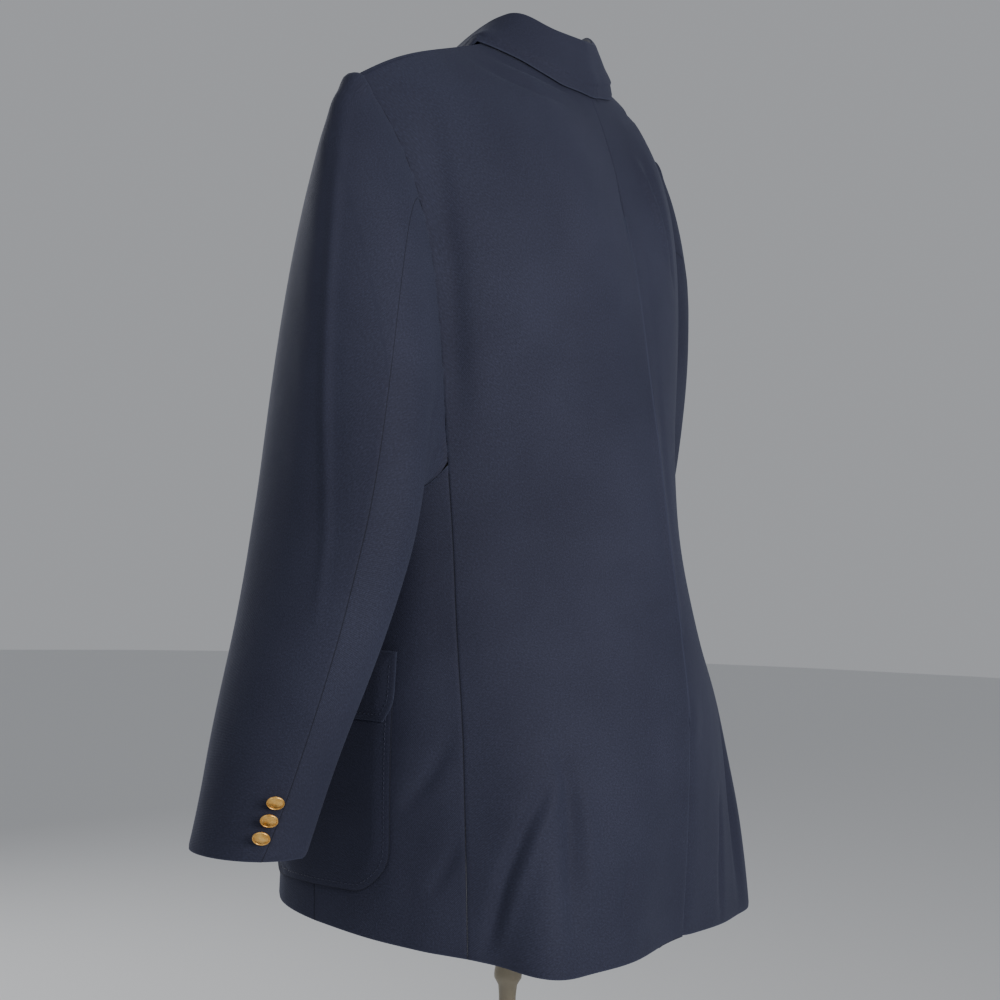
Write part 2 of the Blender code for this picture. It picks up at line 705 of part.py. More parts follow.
def make_lapel(side, front, cloth):
    """A lapel turned back on its front, from the break up to the gorge."""
    name = "lapel_left" if side > 0 else "lapel_right"
    surface = panel_surface([front])
    low = LAPEL_STARTS[side]
    grid = []
    for index in range(LAPEL_ROWS + 1):
        up = low + (1.0 - low) * index / LAPEL_ROWS
        place = FRONT_EDGE + (LAPEL_TOP_PLACE - FRONT_EDGE) * up
        fold = top_edge(place)
        notch = max(up - LAPEL_WIDEST, 0.0) / (1.0 - LAPEL_WIDEST)
        width = LAPEL_WIDTH * smooth_step(up / LAPEL_WIDEST) - LAPEL_NOTCH * notch
        line = []
        for step in range(LAPEL_COLUMNS + 1):
            share = step / LAPEL_COLUMNS
            x = (fold.x + 0.0016 + width * share) * side
            z = fold.z - 0.0015 - 0.12 * width * share
            hit, normal, _, _ = surface.ray_cast(Vector((x, -0.5, z)), Vector((0, 1, 0)))
            if hit is None:
                hit, normal, _, _ = surface.find_nearest(Vector((x, fold.y, z)))
            lift = CLOTH + LAID_GAP + LAPEL_ROLL * (1.0 - share) ** 2
            line.append(hit + normal * lift)
        grid.append(line)
    clear_of(grid, surface, CLOTH + LAID_GAP)
    return Piece(name, grid, cloth, Vector((0.1 * side, -1, 0)))


def outward_of(side, place, z):
    along = plain_ring_point(place + 0.02, z) - plain_ring_point(place - 0.02, z)
    out = Vector((-along.y, along.x, 0.0)).normalized()
    point = plain_ring_point(place, z)
    return -out if out.x * point.x + out.y * point.y < 0.0 else out


def patch_grid(side, back, front, foot_z, top_z, corner, lift, rows, columns):
    """A patch that follows the cloth under it, its two lower corners rounded."""
    grid = []
    for r in range(rows + 1):
        high = (top_z - foot_z) * r / rows
        cut = 0.0
        if high < corner:
            cut = (corner - math.sqrt(corner ** 2 - (corner - high) ** 2)) / PER_PLACE
        line = []
        for place in spread(back + cut, front - cut, columns):
            z = foot_z + high
            line.append(ring_point(side, place, z) + outward_of(side, place, z) * lift)
        grid.append(line)
    return mirrored(grid, side)


def make_pocket(side, panels, cloth):
    """A patch pocket and the flap that hangs over its mouth."""
    hand = "left" if side > 0 else "right"
    pocket_lift = CLOTH + LAID_GAP
    flap_lift = pocket_lift + CLOTH + LAID_GAP
    pocket = patch_grid(side, POCKET_BACK, POCKET_FRONT, POCKET_FOOT_Z, POCKET_TOP_Z,
                        POCKET_CORNER, pocket_lift, 9, 8)
    flap = patch_grid(side, POCKET_BACK - FLAP_WIDER, POCKET_FRONT + FLAP_WIDER, FLAP_FOOT_Z,
                      FLAP_TOP_Z, FLAP_CORNER, flap_lift, 4, 8)
    out = Vector((side, -0.3, 0))
    clear_of(pocket, panel_surface(panels), CLOTH + LAID_GAP)
    pocket_piece = Piece("pocket_" + hand, pocket, cloth, out)
    clear_of(flap, panel_surface(panels), CLOTH + LAID_GAP)
    clear_of(flap, panel_surface([pocket_piece]), CLOTH + LAID_GAP)
    return [pocket_piece, Piece("flap_" + hand, flap, cloth, out)]


def turned(name, profile, material, centre=Vector((0, 0, 0)), axis=Vector((0, 0, 1)), steps=16):
    """A round solid from a profile of (radius, height) that starts and ends on its axis."""
    mesh = bmesh.new()
    turn = Vector((0, 0, 1)).rotation_difference(axis)
    rings = []
    for radius, height in profile:
        if radius == 0.0:
            rings.append([mesh.verts.new(centre + turn @ Vector((0, 0, height)))])
            continue
        ring = []
        for index in range(steps):
            angle = math.tau * index / steps
            spot = Vector((radius * math.cos(angle), radius * math.sin(angle), height))
            ring.append(mesh.verts.new(centre + turn @ spot))
        rings.append(ring)
    for low, high in zip(rings, rings[1:]):
        for index in range(steps):
            after = (index + 1) % steps
            if len(low) == 1:
                mesh.faces.new((low[0], high[after], high[index]))
            elif len(high) == 1:
                mesh.faces.new((low[index], low[after], high[0]))
            else:
                mesh.faces.new((low[index], low[after], high[after], high[index]))
    return finish_object(name, mesh, material)


def make_button(name, surface, aim, radius, brass):
    """A plain domed button with a raised rim, seated on the cloth."""
    near, normal, _, _ = surface.find_nearest(aim)
    profile = [(radius * across, radius * up) for across, up in BUTTON_PROFILE]
    return turned(name, profile, brass, near + normal * SEAM_GAP, normal, 12)


def rest_under(surface, point, depth):
    """Moves a point in to at least the given depth under a surface that faces in."""
    near, normal, _, gap = surface.find_nearest(point)
    short = depth - (point - near).dot(normal)
    if short <= 0.0 or gap > NEAR_ENOUGH:
        return point
    return point + normal * short


def make_form(bodies, linen, metal):
    """A smooth torso with a short neck and no arms, on a pole with a round base."""
    steps = FORM_STEPS
    grid = []
    for row in FORM_ROWS:
        form = dict(zip(FORM_COLUMNS, row))
        middle = 0.5 * (form["back_y"] + form["front_y"])
        deep = 0.5 * (form["back_y"] - form["front_y"])
        ring = []
        for index in range(steps + 1):
            angle = math.tau * index / steps
            x = form["half_width"] * math.cos(angle)
            ring.append(Vector((x, middle + deep * math.sin(angle), form["z"])))
        grid.append(ring)
    surface = panel_surface(bodies, -1.0)
    for _ in range(3):
        for ring in grid:
            ring[:] = [rest_under(surface, point, CLOTH + FORM_GAP) for point in ring]
    clear_of(grid, surface, CLOTH + 0.6 * FORM_GAP, 8)
    mesh = bmesh.new()
    rings = [[mesh.verts.new(point) for point in ring[:steps]] for ring in grid]
    for low, high in zip(rings, rings[1:]):
        for index in range(steps):
            after = (index + 1) % steps
            mesh.faces.new((low[index], low[after], high[after], high[index]))
    mesh.faces.new(list(reversed(rings[0])))
    mesh.faces.new(rings[-1])
    finish_object("dress_form", mesh, linen)
    top = FORM_ROWS[0][0] - 0.0003
    pole = (
        (0.0, BASE_HEIGHT + 0.0003), (POLE_RADIUS, BASE_HEIGHT + 0.0003),
        (POLE_RADIUS, SOCKET_Z - 0.016), (POLE_RADIUS * 1.12, SOCKET_Z - 0.006),
        (SOCKET_RADIUS, SOCKET_Z), (SOCKET_RADIUS, SOCKET_Z + 0.006),
        (SOCKET_RADIUS * 0.9, SOCKET_Z + 0.010), (SOCKET_RADIUS * 0.9, top - 0.010),
        (SOCKET_RADIUS * 2.2, top - 0.004), (SOCKET_RADIUS * 2.2, top), (0.0, top),
    )
    turned("pole", pole, metal, steps=20)
    base = (
        (0.0, 0.0), (BASE_RADIUS - 0.003, 0.0), (BASE_RADIUS, 0.003), (BASE_RADIUS, 0.006),
        (BASE_RADIUS - 0.010, 0.010), (0.060, 0.014), (0.020, BASE_HEIGHT), (0.0, BASE_HEIGHT),
    )
    turned("base", base, metal, steps=40)


def main():
    clear_scene()
    cloth = make_material("navy_worsted", (0.030, 0.034, 0.062), 0.82)
    brass = make_material("gilt_brass", (0.63, 0.31, 0.08), 0.36, 0.9)
    linen = make_material("linen_cover", (0.45, 0.40, 0.31), 0.9)
    metal = make_material("painted_steel", (0.19, 0.17, 0.12), 0.5)
    body, sewn = [], []
    for side in (1, -1):
        panels = [make_back(side, cloth), make_side(side, cloth), make_front(side, cloth)]
        sleeve = make_sleeve(side, cloth)
        agree_at_seams(panels + sleeve)
        body += panels
        sewn += sleeve
    agree_at_seams(body)
    lay_shoulders([body[0], body[3]], 1)
    lay_shoulders([body[2], body[5]], 0)
    collar = make_collar([body[0], body[2], body[3], body[5]], cloth)
    lapels = [make_lapel(1, body[2], cloth), make_lapel(-1, body[5], cloth)]
    pockets = make_pocket(1, body[1:3], cloth) + make_pocket(-1, body[4:6], cloth)
    for piece in body + sewn + [collar] + lapels + pockets:
        piece.build()
    for index, z in enumerate(FRONT_BUTTON_Z):
        surface = panel_surface([body[5]])
        make_button(f"front_button_{index + 1}", surface, Vector((0.004, -0.3, z)),
                    FRONT_BUTTON_RADIUS, brass)
    for side, hand, top in ((1, "left", sewn[0]), (-1, "right", sewn[2])):
        for index, z in enumerate(SLEEVE_BUTTON_Z):
            row = read_row(SLEEVE_ROWS, SLEEVE_COLUMNS, z)
            spot = sleeve_ring_point(side, row["seam_deg"] - BUTTONS_BEFORE_SEAM_DEG, z)
            aim = Vector((spot.x * side, spot.y, spot.z))
            make_button(f"sleeve_button_{hand}_{index + 1}", panel_surface([top]), aim,
                        SLEEVE_BUTTON_RADIUS, brass)
    make_form(body, linen, metal)


main()
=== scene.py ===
"""A navy worsted blazer on a linen-covered dress form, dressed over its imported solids.

Metres, +Z up. The wearer faces -Y and the wearer's left is +X. Each cloth piece is a thin
shell made on its solid's outer face, with its creases, turned edges and stitches.
"""

import math

import bmesh
import bpy
import numpy as np
from mathutils import Matrix, Vector
from mathutils.bvhtree import BVHTree
from mathutils.kdtree import KDTree


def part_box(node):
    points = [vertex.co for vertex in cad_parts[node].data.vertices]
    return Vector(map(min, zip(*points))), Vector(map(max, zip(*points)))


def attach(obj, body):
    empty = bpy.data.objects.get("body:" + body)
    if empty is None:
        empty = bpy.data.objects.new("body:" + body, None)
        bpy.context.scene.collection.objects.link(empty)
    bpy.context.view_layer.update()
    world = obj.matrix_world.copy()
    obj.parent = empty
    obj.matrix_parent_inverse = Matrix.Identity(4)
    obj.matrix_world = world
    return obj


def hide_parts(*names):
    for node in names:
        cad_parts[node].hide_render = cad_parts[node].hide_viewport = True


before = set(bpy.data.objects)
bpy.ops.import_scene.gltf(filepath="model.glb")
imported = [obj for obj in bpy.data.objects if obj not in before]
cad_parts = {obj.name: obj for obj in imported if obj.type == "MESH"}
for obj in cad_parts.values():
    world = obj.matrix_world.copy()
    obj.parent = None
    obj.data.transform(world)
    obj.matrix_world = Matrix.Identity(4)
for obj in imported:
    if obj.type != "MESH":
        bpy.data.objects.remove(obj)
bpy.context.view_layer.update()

# Where the photo was taken from: the camera's place, the way it looks and its focal length
CAMERA_PLACE = (1.3993, 0.8769, 1.1148)
CAMERA_TURN = 57.9239
CAMERA_YAW = -0.614
CAMERA_PITCH = -1.5303
CAMERA_ROLL = 1.6327
FOCAL_PIXELS = 2008.95
IMAGE_PIXELS = 1000.0
SENSOR_MM = 36.0

# Cloth: its thickness, and how much deeper than measured the creases are made
CREASE_DEEPER = 1.8
CREASE_END = 0.02
SHELL = 0.0018
EDGE_ROLL = 0.0005
# A border point is sewn to another border where it is this near, or runs along it within
# reach, and it takes the cloth round it along. Loose spots are sewn whichever way they run.
SEAM_NEAR = 0.0015
SEAM_REACH = 0.0120
SEAM_ALONG = 0.75
SEAM_PULL = 0.0300
SEAM_TOUCH = 0.0012
# How far laid pieces stand off the cloth under them, and how near to it they are pressed on
LAID_LIFT = 0.0006
LAID_REACH = 0.0150
# Seams drawn with no painted shade line: the centre seam, whose top shows nothing and whose
# lower part gets the painted edge highlight instead, and the shoulder seams
CENTRE_SEAM = 0.0030
CENTRE_HIDDEN_ABOVE = 1.300
SHOULDER_HIDDEN_ABOVE = 1.383
# The shoulder tip and the two ends of the underarm, where a sleeve's border turns
LOOSE_SPOTS = (
    Vector((0.220, -0.013, 1.384)), Vector((0.168, 0.040, 1.100)), Vector((0.178, -0.052, 1.100)),
)
LOOSE_REACH = 0.028
# Fronts that lie over each other, so their borders aren't sewn together
LAPPED_OVER = {"front_left": "front_right", "front_right": "front_left"}
# The solids' own wall, by which their rims are told from their skins
WALL = 0.0022
WALL_SLACK = 0.00002
MERGED_WITHIN = 0.00001
# Two triangles this flat and this square together become one face, and a border that turns
# more sharply than CORNER keeps its corner
FLAT_PAIR = math.radians(40.0)
SQUARE_PAIR = math.radians(80.0)
CORNER = math.radians(150.0)
# Edges that bend more than this stay sharp, on the cloth, the turned pieces and the form
CLOTH_SHARP = math.radians(48.0)
TURNED_SHARP = math.radians(35.0)
COVER_SHARP = math.radians(50.0)
# The distance that is noted where a sheet has no such border
NOWHERE = 1.0
# The twill's lines, and how the weave map runs on over a sheet that leans
WALE_APART = 0.0011
WALE_TURNED = math.radians(58.0)
WEAVE_SLANT = 0.9
# What the outer faces turn away from: the body's middle, and each sleeve's
BODY_MIDDLE = Vector((0.0, 0.0, 1.05))
SLEEVE_MIDDLE = {1: Vector((0.262, -0.012, 0.98)), -1: Vector((-0.248, -0.060, 0.98))}

# The cut of what shows of each piece, in metres. A piece is "body" or "sleeve" by what its
# outer face turns away from.
CLOTH_COLUMNS = ("node", "round", "levels", "width", "length", "area", "held", "rests_on")
CLOTH_PIECES = (
    ("back_left", "body", 3, 0.27, 0.72, 0.148, "hung", ("form_cover",)),
    ("back_right", "body", 3, 0.31, 0.72, 0.155, "hung", ("form_cover",)),
    ("side_left", "body", 3, 0.15, 0.37, 0.040, "hung", ("cloth_back_left", "cloth_front_left")),
    ("side_right", "body", 3, 0.15, 0.37, 0.040, "hung", ("cloth_back_right", "cloth_front_right")),
    ("front_left", "body", 3, 0.30, 0.70, 0.152, "hung", ("form_cover",)),
    ("front_right", "body", 3, 0.30, 0.70, 0.152, "hung", ("form_cover",)),
    ("sleeve_top_left", "sleeve", 3, 0.22, 0.60, 0.087, "hung", ("cloth_back_left",)),
    ("sleeve_under_left", "sleeve", 3, 0.17, 0.44, 0.067, "hung", ("cloth_side_left",)),
    ("sleeve_top_right", "sleeve", 3, 0.22, 0.60, 0.087, "hung", ("cloth_back_right",)),
    ("sleeve_under_right", "sleeve", 3, 0.17, 0.44, 0.067, "hung", ("cloth_side_right",)),
    ("collar", "body", 3, 0.36, 0.08, 0.027, "folded", ("cloth_back_left", "cloth_back_right")),
    ("lapel_left", "body", 3, 0.09, 0.30, 0.0195, "folded", ("cloth_front_left",)),
    ("lapel_right", "body", 3, 0.09, 0.32, 0.021, "folded", ("cloth_front_right",)),
    ("pocket_left", "body", 3, 0.152, 0.166, 0.0245, "laid", ("cloth_front_left",)),
    ("pocket_right", "body", 3, 0.152, 0.166, 0.0245, "laid", ("cloth_front_right",)),
    ("flap_left", "body", 3, 0.158, 0.053, 0.0081, "laid", ("cloth_pocket_left",)),
    ("flap_right", "body", 3, 0.158, 0.053, 0.0081, "laid", ("cloth_pocket_right",)),
)

# Creases: a line through the cloth, how wide its side is, and how deep it goes. A ridge
# has a depth above zero. Lines on the wearer's right, and in front, are like those seen.
CREASES = {
    "armhole_ridge_right": (((-0.034, 0.081, 1.346), (-0.040, 0.092, 1.322), (-0.048, 0.100, 1.296),
                             (-0.056, 0.104, 1.268)), 0.0050, 0.0028),
    "armhole_gutter_right": (((-0.046, 0.079, 1.350), (-0.054, 0.088, 1.318), (-0.064, 0.095, 1.288),
                              (-0.072, 0.096, 1.250)), 0.0070, -0.0026),
    "centre_seam_ridge": (((0.0, 0.104, 1.290), (0.0, 0.121, 1.200), (0.0, 0.128, 1.120),
                           (0.0, 0.140, 1.040), (0.0, 0.152, 0.975)), 0.0050, 0.0017),
    "beside_centre_seam": (((-0.014, 0.104, 1.280), (-0.014, 0.121, 1.200), (-0.014, 0.128, 1.120),
                            (-0.012, 0.140, 1.040)), 0.0060, -0.0014),
    "armhole_faint_right": (((0.001, 0.083, 1.328), (0.003, 0.091, 1.301), (0.005, 0.100, 1.265)),
                            0.005, -0.0009),
    "below_collar_1": (((0.090, 0.018, 1.418), (0.073, 0.033, 1.409), (0.054, 0.044, 1.402),
                        (0.028, 0.053, 1.395)), 0.0036, -0.0018),
    "below_collar_2": (((0.110, 0.020, 1.407), (0.097, 0.035, 1.400), (0.075, 0.053, 1.391),
                        (0.048, 0.062, 1.384)), 0.0042, -0.0015),
    "below_collar_3": (((-0.104, 0.022, 1.407), (-0.080, 0.046, 1.395), (-0.045, 0.062, 1.384)),
                       0.0042, -0.0011),
    "seat_diagonal": (((0.143, 0.121, 0.872), (0.161, 0.112, 0.836), (0.169, 0.101, 0.800),
                       (0.174, 0.090, 0.748)), 0.0060, -0.0026),
    "seat_diagonal_lip": (((0.136, 0.126, 0.866), (0.153, 0.119, 0.832), (0.161, 0.110, 0.796),
                           (0.166, 0.100, 0.750)), 0.0055, 0.0014),
    "seat_trough": (((0.131, 0.121, 0.900), (0.129, 0.130, 0.864), (0.131, 0.135, 0.835),
                     (0.140, 0.141, 0.750)), 0.0085, -0.0030),
    "seat_ridge": (((0.117, 0.136, 0.868), (0.117, 0.141, 0.826), (0.120, 0.146, 0.770)), 0.0075, 0.0016),
    "seat_faint": (((0.078, 0.158, 0.812), (0.088, 0.157, 0.786), (0.094, 0.157, 0.760)), 0.0060, -0.0012),
    "side_fold_1": (((0.184, 0.059, 0.897), (0.191, 0.048, 0.873), (0.200, 0.029, 0.845)), 0.0065, -0.0014),
    "side_fold_2": (((0.182, 0.068, 0.824), (0.187, 0.060, 0.804), (0.191, 0.050, 0.785)), 0.0055, -0.0013),
    "armhole_trough_left": (((0.176, 0.019, 1.362), (0.178, 0.033, 1.309), (0.172, 0.040, 1.251),
                             (0.168, 0.043, 1.192), (0.164, 0.046, 1.133)), 0.0110, -0.0022),
    "pressed_crease_left": (((0.245, -0.004, 1.362), (0.258, 0.001, 1.329), (0.268, 0.005, 1.289),
                             (0.277, 0.009, 1.228), (0.283, 0.012, 1.186), (0.287, 0.016, 1.133),
                             (0.290, 0.021, 1.092), (0.294, 0.025, 1.047), (0.299, 0.022, 0.991)),
                            0.0042, 0.0013),
    "hem_fold_right": (((-0.078, 0.153, 0.840), (-0.077, 0.154, 0.809), (-0.072, 0.157, 0.775),
                        (-0.070, 0.158, 0.740)), 0.0060, -0.0018),
    "seat_trough_right": (((-0.118, 0.128, 0.900), (-0.122, 0.134, 0.850), (-0.126, 0.138, 0.800),
                           (-0.124, 0.144, 0.745)), 0.0090, -0.0028),
    "pressed_crease_right": (((-0.244, -0.016, 1.362), (-0.262, -0.024, 1.300), (-0.276, -0.036, 1.200),
                              (-0.282, -0.050, 1.100), (-0.286, -0.058, 1.000)), 0.0042, 0.0013),
    "bust_drag_left": (((0.172, -0.052, 1.150), (0.150, -0.092, 1.135), (0.120, -0.122, 1.120)),
                       0.0070, -0.0018),
    "bust_drag_right": (((-0.172, -0.052, 1.146), (-0.150, -0.092, 1.128), (-0.118, -0.122, 1.116)),
                        0.0070, -0.0018),
    "button_drag_left": (((0.025, -0.150, 1.046), (0.070, -0.140, 1.040), (0.110, -0.122, 1.030)),
                         0.0060, -0.0016),
    "button_drag_right": (((-0.025, -0.154, 1.044), (-0.070, -0.142, 1.052), (-0.112, -0.122, 1.060)),
                          0.0060, -0.0016),
    "front_fall_left": (((0.100, -0.146, 0.940), (0.112, -0.148, 0.880), (0.118, -0.150, 0.800)),
                        0.0090, -0.0024),
    "front_fall_right": (((-0.092, -0.150, 0.930), (-0.106, -0.150, 0.870), (-0.116, -0.152, 0.790)),
                         0.0090, -0.0024),
    "elbow_left": (((0.238, 0.052, 1.105), (0.262, 0.046, 1.085), (0.280, 0.030, 1.075)), 0.0060, -0.0012),
    "elbow_right": (((-0.236, 0.010, 1.098), (-0.258, 0.000, 1.080), (-0.276, -0.014, 1.068)),
                    0.0060, -0.0014),
    "underarm_left": (((0.196, 0.050, 1.150), (0.214, 0.052, 1.118), (0.226, 0.048, 1.080)),
                      0.0060, -0.0014),
}
# The padded heads of the sleeves, which no other piece takes
SLEEVE_HEADS = {
    "head_left": (((0.222, -0.026, 1.366), (0.229, -0.012, 1.3775), (0.222, 0.001, 1.366)), 0.0085, 0.0036),
    "head_right": (((-0.222, -0.026, 1.366), (-0.229, -0.012, 1.3775), (-0.222, 0.001, 1.366)),
                   0.0085, 0.0018),
}

# Stitching: a stitch's length, gap and half thickness, how far in from the edge a row runs,
# how far a stitch stands proud, and where a row stops: near a corner, at a break in the
# border, and just below the piece's top
STITCH_LONG = 0.0026
STITCH_GAP = 0.0010
STITCH_THICK = 0.00032
STITCH_FROM_EDGE = 0.0050
STITCH_PROUD = 0.35
STITCH_CLEAR = 0.93
STITCH_BREAK = 0.012
STITCH_BELOW_TOP = 0.008
STITCHED = ("pocket_left", "pocket_right", "flap_left", "flap_right")
# Buttonholes: where the bar of stitches begins, how many it has, their pitch and height
BUTTONHOLE_FROM = 0.0060
BUTTONHOLE_STITCHES = 16
BUTTONHOLE_PITCH = 0.0006
BUTTONHOLE_HIGH = 0.0024

# Buttons: radius and height of the turned profile, as shares of the button's radius. The
# sleeves' buttons hang from a shank, so they stand off the cloth and droop.
BUTTON_PROFILE = (
    (0.00, 0.02), (0.60, 0.02), (0.92, 0.10), (1.00, 0.20), (1.00, 0.27), (0.955, 0.335),
    (0.89, 0.345), (0.845, 0.300), (0.83, 0.270), (0.70, 0.345), (0.50, 0.410), (0.25, 0.445),
    (0.00, 0.455),
)
BUTTON_SHANK = ((0.00, -0.60), (0.20, -0.60), (0.20, 0.02))
SLEEVE_BUTTON_RADIUS = 0.0064
SLEEVE_BUTTON_DROOP = math.radians(34.0)
SLEEVE_BUTTON_LIFT = 0.0030
FRONT_BUTTON_RADIUS = 0.0100

# Stand
POLE_PROFILE = (
    (0.0000, 0.0183), (0.0070, 0.0183), (0.0070, 0.6600), (0.0073, 0.6640), (0.0079, 0.6700),
    (0.0098, 0.6735), (0.0113, 0.6760), (0.0115, 0.6790), (0.0112, 0.6822), (0.0104, 0.6860),
    (0.0103, 0.7890), (0.0150, 0.7930), (0.0250, 0.7957), (0.0253, 0.7975), (0.0250, 0.7995),
    (0.0000, 0.7996),
)
BASE_PROFILE = (
    (0.0000, 0.0000), (0.1660, 0.0000), (0.1690, 0.0012), (0.1700, 0.0030), (0.1700, 0.0055),
    (0.1688, 0.0072), (0.1650, 0.0084), (0.1600, 0.0097), (0.1200, 0.0117), (0.0600, 0.0138),
    (0.0230, 0.0170), (0.0200, 0.0178), (0.0000, 0.0180),
)

# Studio: each light's name, place, aim, side, watts and colour
FLOOR_RADIUS = 9.0
FLOOR_COLOUR = "#E2E3E4"
BACKDROP_COLOUR = "#B4B6BA"
BACKDROP_STRENGTH = 0.78
LIGHTS = (
    ("key", (0.45, 1.27, 1.32), (-0.05, 0.1, 1.22), 0.7, 16.5, "#FFFAF6"),
    ("fill", (2.6, -0.5, 1.9), (0.25, 0.0, 1.15), 1.2, 9.0, "#FFF8F2"),
    ("front", (-0.8, -3.0, 2.2), (0.0, 0.0, 1.1), 2.0, 45.0, "#FFFFFF"),
)


def srgb(code):
    """An sRGB hex colour turned linear, as a shader's socket wants it."""
    parts = [int(code[i:i + 2], 16) / 255.0 for i in (1, 3, 5)]
    return (*[p / 12.92 if p <= 0.04045 else ((p + 0.055) / 1.055) ** 2.4 for p in parts], 1.0)


def add_node(tree, kind, settings=None, **links):
    """Adds a node: settings go to its properties, links to its inputs as values or sockets."""
    node = tree.nodes.new(kind)
    for name, value in (settings or {}).items():
        setattr(node, name, value)
    for name, value in links.items():
        key = int(name[3:]) if name.startswith("at_") else name.replace("_", " ")
        socket = node.inputs[key]
        if isinstance(value, bpy.types.NodeSocket):
            tree.links.new(value, socket)
        else:
            socket.default_value = value
    return node


def shaded(name, roughness, **sockets):
    """A material with its Principled shader, and the shader's own sockets set."""
    material = bpy.data.materials.new(name)
    material.use_nodes = True
    shader = material.node_tree.nodes["Principled BSDF"]
    shader.inputs["Roughness"].default_value = roughness
    for socket, value in sockets.items():
        shader.inputs[socket.replace("_", " ")].default_value = value
    return material, material.node_tree, shader


def ramp_colours(ramp, stops):
    """Sets a colour ramp's stops from pairs of place and hex colour."""
    elements = ramp.color_ramp.elements
    while len(elements) < len(stops):
        elements.new(0.5)
    for element, (place, code) in zip(elements, stops):
        element.position = place
        element.color = srgb(code)


def worsted_wool():
    """Navy worsted, a fine 2/2 twill: matt, a soft bloom at grazing light, threads of two
    near blues. The threads are 0.5 mm apart on the real cloth and drawn 1.1 mm apart."""
    material, tree, shader = shaded(
        "navy_worsted_wool", 0.78, IOR=1.46, Sheen_Weight=0.16, Sheen_Roughness=0.45, Specular_IOR_Level=0.28)
    shader.inputs["Sheen Tint"].default_value = srgb("#8E98B8")
    place = add_node(tree, "ShaderNodeUVMap", {"uv_map": "weave"}).outputs["UV"]
    spot = add_node(tree, "ShaderNodeTexCoord").outputs["Object"]
    twill = add_node(tree, "ShaderNodeMapping", None, Vector=place, Rotation=(0.0, 0.0, WALE_TURNED))
    bands = {"wave_type": "BANDS", "bands_direction": "X", "wave_profile": "SIN"}
    wale = add_node(tree, "ShaderNodeTexWave", bands, Vector=twill.outputs["Vector"],
                    Scale=2.0 / (6.2832 * WALE_APART), Distortion=1.2, Detail=2.0, Detail_Scale=2.0)
    fibre = add_node(tree, "ShaderNodeTexNoise", None, Vector=place, Scale=1500.0, Detail=3.0, Roughness=0.6)
    cloudy = add_node(tree, "ShaderNodeTexNoise", None, Vector=spot, Scale=9.0, Detail=4.0, Roughness=0.55)
    speck = add_node(tree, "ShaderNodeTexNoise", None, Vector=place, Scale=700.0, Detail=2.0, Roughness=0.7)
    tone = add_node(tree, "ShaderNodeValToRGB", None, Fac=speck.outputs["Fac"])
    ramp_colours(tone, ((0.30, "#26293A"), (0.52, "#2D3042"), (0.72, "#34384D")))
    worn = add_node(tree, "ShaderNodeValToRGB", None, Fac=cloudy.outputs["Fac"])
    ramp_colours(worn, ((0.30, "#DCDCE2"), (0.70, "#FFFFFF")))
    cloth = add_node(tree, "ShaderNodeMix", {"data_type": "RGBA", "blend_type": "MULTIPLY"}, Factor=1.0,
                     at_6=tone.outputs["Color"], at_7=worn.outputs["Color"])
    # A paler blue mixed in near a free border and along the lower centre seam: edge wear, and a painted
    # highlight where an edge would catch the light
    edge = add_node(tree, "ShaderNodeAttribute", {"attribute_name": "edge"}).outputs["Fac"]
    near_edge = add_node(tree, "ShaderNodeMapRange", {"interpolation_type": "SMOOTHSTEP"}, Value=edge,
                         From_Min=0.0002, From_Max=0.0016, To_Min=0.30, To_Max=0.0)
    worn_and_highlit_edge = add_node(tree, "ShaderNodeMix", {"data_type": "RGBA", "blend_type": "MIX"},
                       Factor=near_edge.outputs["Result"], at_6=cloth.outputs[2], at_7=srgb("#3E4459"))
    # A nearly black blue painted in a thin line along the sewn borders and round the pockets: painted shade,
    # for the shadow in a seam's groove and under a pocket's edge
    seam = add_node(tree, "ShaderNodeAttribute", {"attribute_name": "seam"}).outputs["Fac"]
    in_seam = add_node(tree, "ShaderNodeMapRange", {"interpolation_type": "SMOOTHSTEP"}, Value=seam,
                       From_Min=0.0001, From_Max=0.0008, To_Min=0.75, To_Max=0.0)
    painted_seam_shade = add_node(tree, "ShaderNodeMix", {"data_type": "RGBA", "blend_type": "MIX"},
                    Factor=in_seam.outputs["Result"], at_6=worn_and_highlit_edge.outputs[2], at_7=srgb("#0D0F19"))
    tree.links.new(painted_seam_shade.outputs[2], shader.inputs["Base Color"])
    thread = add_node(tree, "ShaderNodeBump", None, Strength=0.30, Distance=0.0004,
                      Height=wale.outputs["Fac"])
    nap = add_node(tree, "ShaderNodeBump", None, Strength=0.22, Distance=0.0004, Height=fibre.outputs["Fac"],
                   Normal=thread.outputs["Normal"])
    rumple = add_node(tree, "ShaderNodeTexNoise", None, Vector=spot, Scale=26.0, Detail=3.0, Roughness=0.5)
    soft = add_node(tree, "ShaderNodeBump", None, Strength=0.25, Distance=0.0040,
                    Height=rumple.outputs["Fac"], Normal=nap.outputs["Normal"])
    tree.links.new(soft.outputs["Normal"], shader.inputs["Normal"])
    return material


def sewing_thread():
    """Polyester sewing thread of the cloth's own shade, with a slight gloss."""
    material, tree, shader = shaded("navy_sewing_thread", 0.55, Sheen_Weight=0.1, Specular_IOR_Level=0.4)
    spot = add_node(tree, "ShaderNodeTexCoord").outputs["Object"]
    ply = add_node(tree, "ShaderNodeTexNoise", None, Vector=spot, Scale=900.0, Detail=2.0)
    tone = add_node(tree, "ShaderNodeValToRGB", None, Fac=ply.outputs["Fac"])
    ramp_colours(tone, ((0.35, "#20243A"), (0.65, "#2E334A")))
    tree.links.new(tone.outputs["Color"], shader.inputs["Base Color"])
    bump = add_node(tree, "ShaderNodeBump", None, Strength=0.3, Distance=0.0001, Height=ply.outputs["Fac"])
    tree.links.new(bump.outputs["Normal"], shader.inputs["Normal"])
    return material


